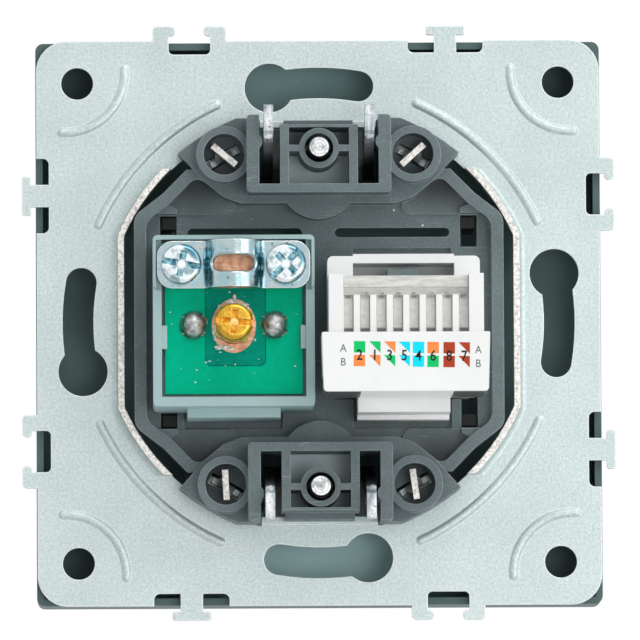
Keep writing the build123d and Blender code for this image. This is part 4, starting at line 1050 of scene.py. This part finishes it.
def flux_specks():
    """Pale specks on the board, away from the terminal and the joints."""
    source = random.Random(31)
    specks = []
    for _ in range(SPECK_TRIES):
        across = source.uniform(-SPECK_ACROSS, SPECK_ACROSS) * MM
        up = source.gauss(-0.6, 2.6) * MM
        beside = min(abs(across), abs(abs(across) - EARTH_AT))
        on_mark = beside < MARK_HALF[0] * MM and abs(up) < MARK_HALF[1] * MM
        if on_mark or not SPECK_UP[0] * MM <= up <= SPECK_UP[1] * MM:
            continue
        size = source.choice(SPECK_SIZES) * MM
        specks.append((TERMINAL[0] + across, TERMINAL[1] + up, BOARD_LEVEL,
                       size * source.uniform(1, 2), size, size / 3, 0.4, source.randint(1, 99)))
    flux = plain("flux", (0.6, 0.75, 0.7), (0.9, 0.95, 0.92), 0.4)
    blobs("flux_specks", specks, flux)


board_panel()
solder_marks()
flux_specks()


# Burrs and dust

# In mm: height and depth of each claw's elbow
ELBOWS = {"upper_claw": (22.62, 9.1), "lower_claw": (-21.45, 9.13)}
ELBOW_ACROSS = 6.3
BURR_SIZE = (1.3 * MM, 1.0 * MM, 0.3 * MM)
# In mm: x, z and width of each speck on the carrier's floor
FLOOR_SPECKS = ((-9.47, 14.0, 0.3), (-13.06, 12.07, 0.26), (8.4, 12.9, 0.16), (-2.0, -13.2, 0.16))


def crumbs_and_burrs():
    """Sheared burrs at the claws' elbows, and the specks of dust left on the plastic."""
    for body, (z, y) in ELBOWS.items():
        spots = [(side * ELBOW_ACROSS * MM, z * MM, y * MM, *BURR_SIZE, 0.3, 41 + side)
                 for side in (1, -1)]
        blobs(f"{body}_burrs", spots, claw_look, body)
    dust = plain("dust", (0.7, 0.74, 0.72), (0.95, 0.97, 0.96), 0.6)
    speck = (2.36 * MM, 31.2 * MM, COVER_LEVEL, 0.3 * MM, 0.26 * MM, 0.1 * MM, 0.3, 51)
    blobs("cover_speck", [speck], dust, "cover")
    specks = [(x * MM, z * MM, FLOOR_LEVEL, wide * MM, wide * MM, 0.06 * MM, 0.3, seed)
              for seed, (x, z, wide) in enumerate(FLOOR_SPECKS, 60)]
    blobs("floor_specks", specks, dust)


crumbs_and_burrs()


# Floor, light and camera

FLOOR_HALF = 2.0
FLOOR_AT = -0.3


def floor():
    """Pale floor well below the socket, which hangs on its mount."""
    mesh = bpy.data.meshes.new("floor")
    corners = [(x * FLOOR_HALF, y * FLOOR_HALF, FLOOR_AT)
               for x, y in ((-1, -1), (1, -1), (1, 1), (-1, 1))]
    mesh.from_pydata(corners, [], [(0, 1, 2, 3)])
    plane = bpy.data.objects.new("floor", mesh)
    bpy.context.collection.objects.link(plane)
    look = Look("floor_paint").set(Base_Color=(0.85, 0.85, 0.85), Roughness=0.8)
    mesh.materials.append(look.material)


def world():
    """White surroundings for the camera and for reflections, and a softer fill light."""
    scene_world = bpy.data.worlds.new("studio")
    bpy.context.scene.world = scene_world
    scene_world.use_nodes = True
    tree = scene_world.node_tree
    tree.nodes.clear()
    output = tree.nodes.new("ShaderNodeOutputWorld")
    background = tree.nodes.new("ShaderNodeBackground")
    rays = tree.nodes.new("ShaderNodeLightPath")
    white = rays.outputs["Is Camera Ray"]
    for kind in ("Is Transmission Ray", "Is Glossy Ray"):
        either = tree.nodes.new("ShaderNodeMath")
        either.operation = "MAXIMUM"
        tree.links.new(white, either.inputs[0])
        tree.links.new(rays.outputs[kind], either.inputs[1])
        white = either.outputs[0]
    strength = tree.nodes.new("ShaderNodeMapRange")
    strength.inputs["To Min"].default_value = FILL_LIGHT
    strength.inputs["To Max"].default_value = 1.0
    tree.links.new(white, strength.inputs["Value"])
    tree.links.new(strength.outputs["Result"], background.inputs["Strength"])
    background.inputs["Color"].default_value = (1.0, 1.0, 1.0, 1.0)
    tree.links.new(background.outputs[0], output.inputs["Surface"])


def lamp(name, place, size, power):
    """A white soft box of so many watts that faces the socket."""
    data = bpy.data.lights.new(name, "AREA")
    data.shape = "RECTANGLE"
    data.size, data.size_y = size
    data.energy = power
    made = bpy.data.objects.new(name, data)
    bpy.context.collection.objects.link(made)
    made.location = place
    made.rotation_mode = "QUATERNION"
    made.rotation_quaternion = (-Vector(place)).to_track_quat("-Z", "Y")


def camera():
    """The photograph's view: from behind, slightly from below, through a long lens."""
    data = bpy.data.cameras.new("camera")
    focal_pixels = PIXELS_PER_MM * CAMERA_AWAY / MM
    data.sensor_width = SENSOR_MM
    data.lens = focal_pixels * SENSOR_MM / PHOTO_WIDE
    data.clip_start = 0.1
    data.clip_end = 20
    made = bpy.data.objects.new("camera", data)
    bpy.context.collection.objects.link(made)
    level = cos(CAMERA_ELEVATION)
    back = Vector((sin(CAMERA_AZIMUTH) * level, -cos(CAMERA_AZIMUTH) * level,
                   sin(CAMERA_ELEVATION)))
    made.location = Vector(PICTURE_MIDDLE) + back * CAMERA_AWAY
    aim = (-back).to_track_quat("-Z", "Y").to_matrix().to_4x4()
    turn = Matrix.Rotation(CAMERA_ROLL, 4, "Z")
    made.matrix_world = Matrix.Translation(made.location) @ aim @ turn
    bpy.context.scene.camera = made


floor()
world()
lamp("key", (-0.3, 0.7, 1.0), (0.9, 0.6), 5.2)
lamp("side", (-0.6, 0.55, 0.1), (0.5, 0.9), 1.9)
lamp("low", (-0.28, 0.95, -0.2), (0.35, 0.5), 1.85)
lamp("front", (0.3, -1.0, 0.5), (0.8, 0.8), 9)
camera()
bpy.context.scene.view_settings.view_transform = "Standard"
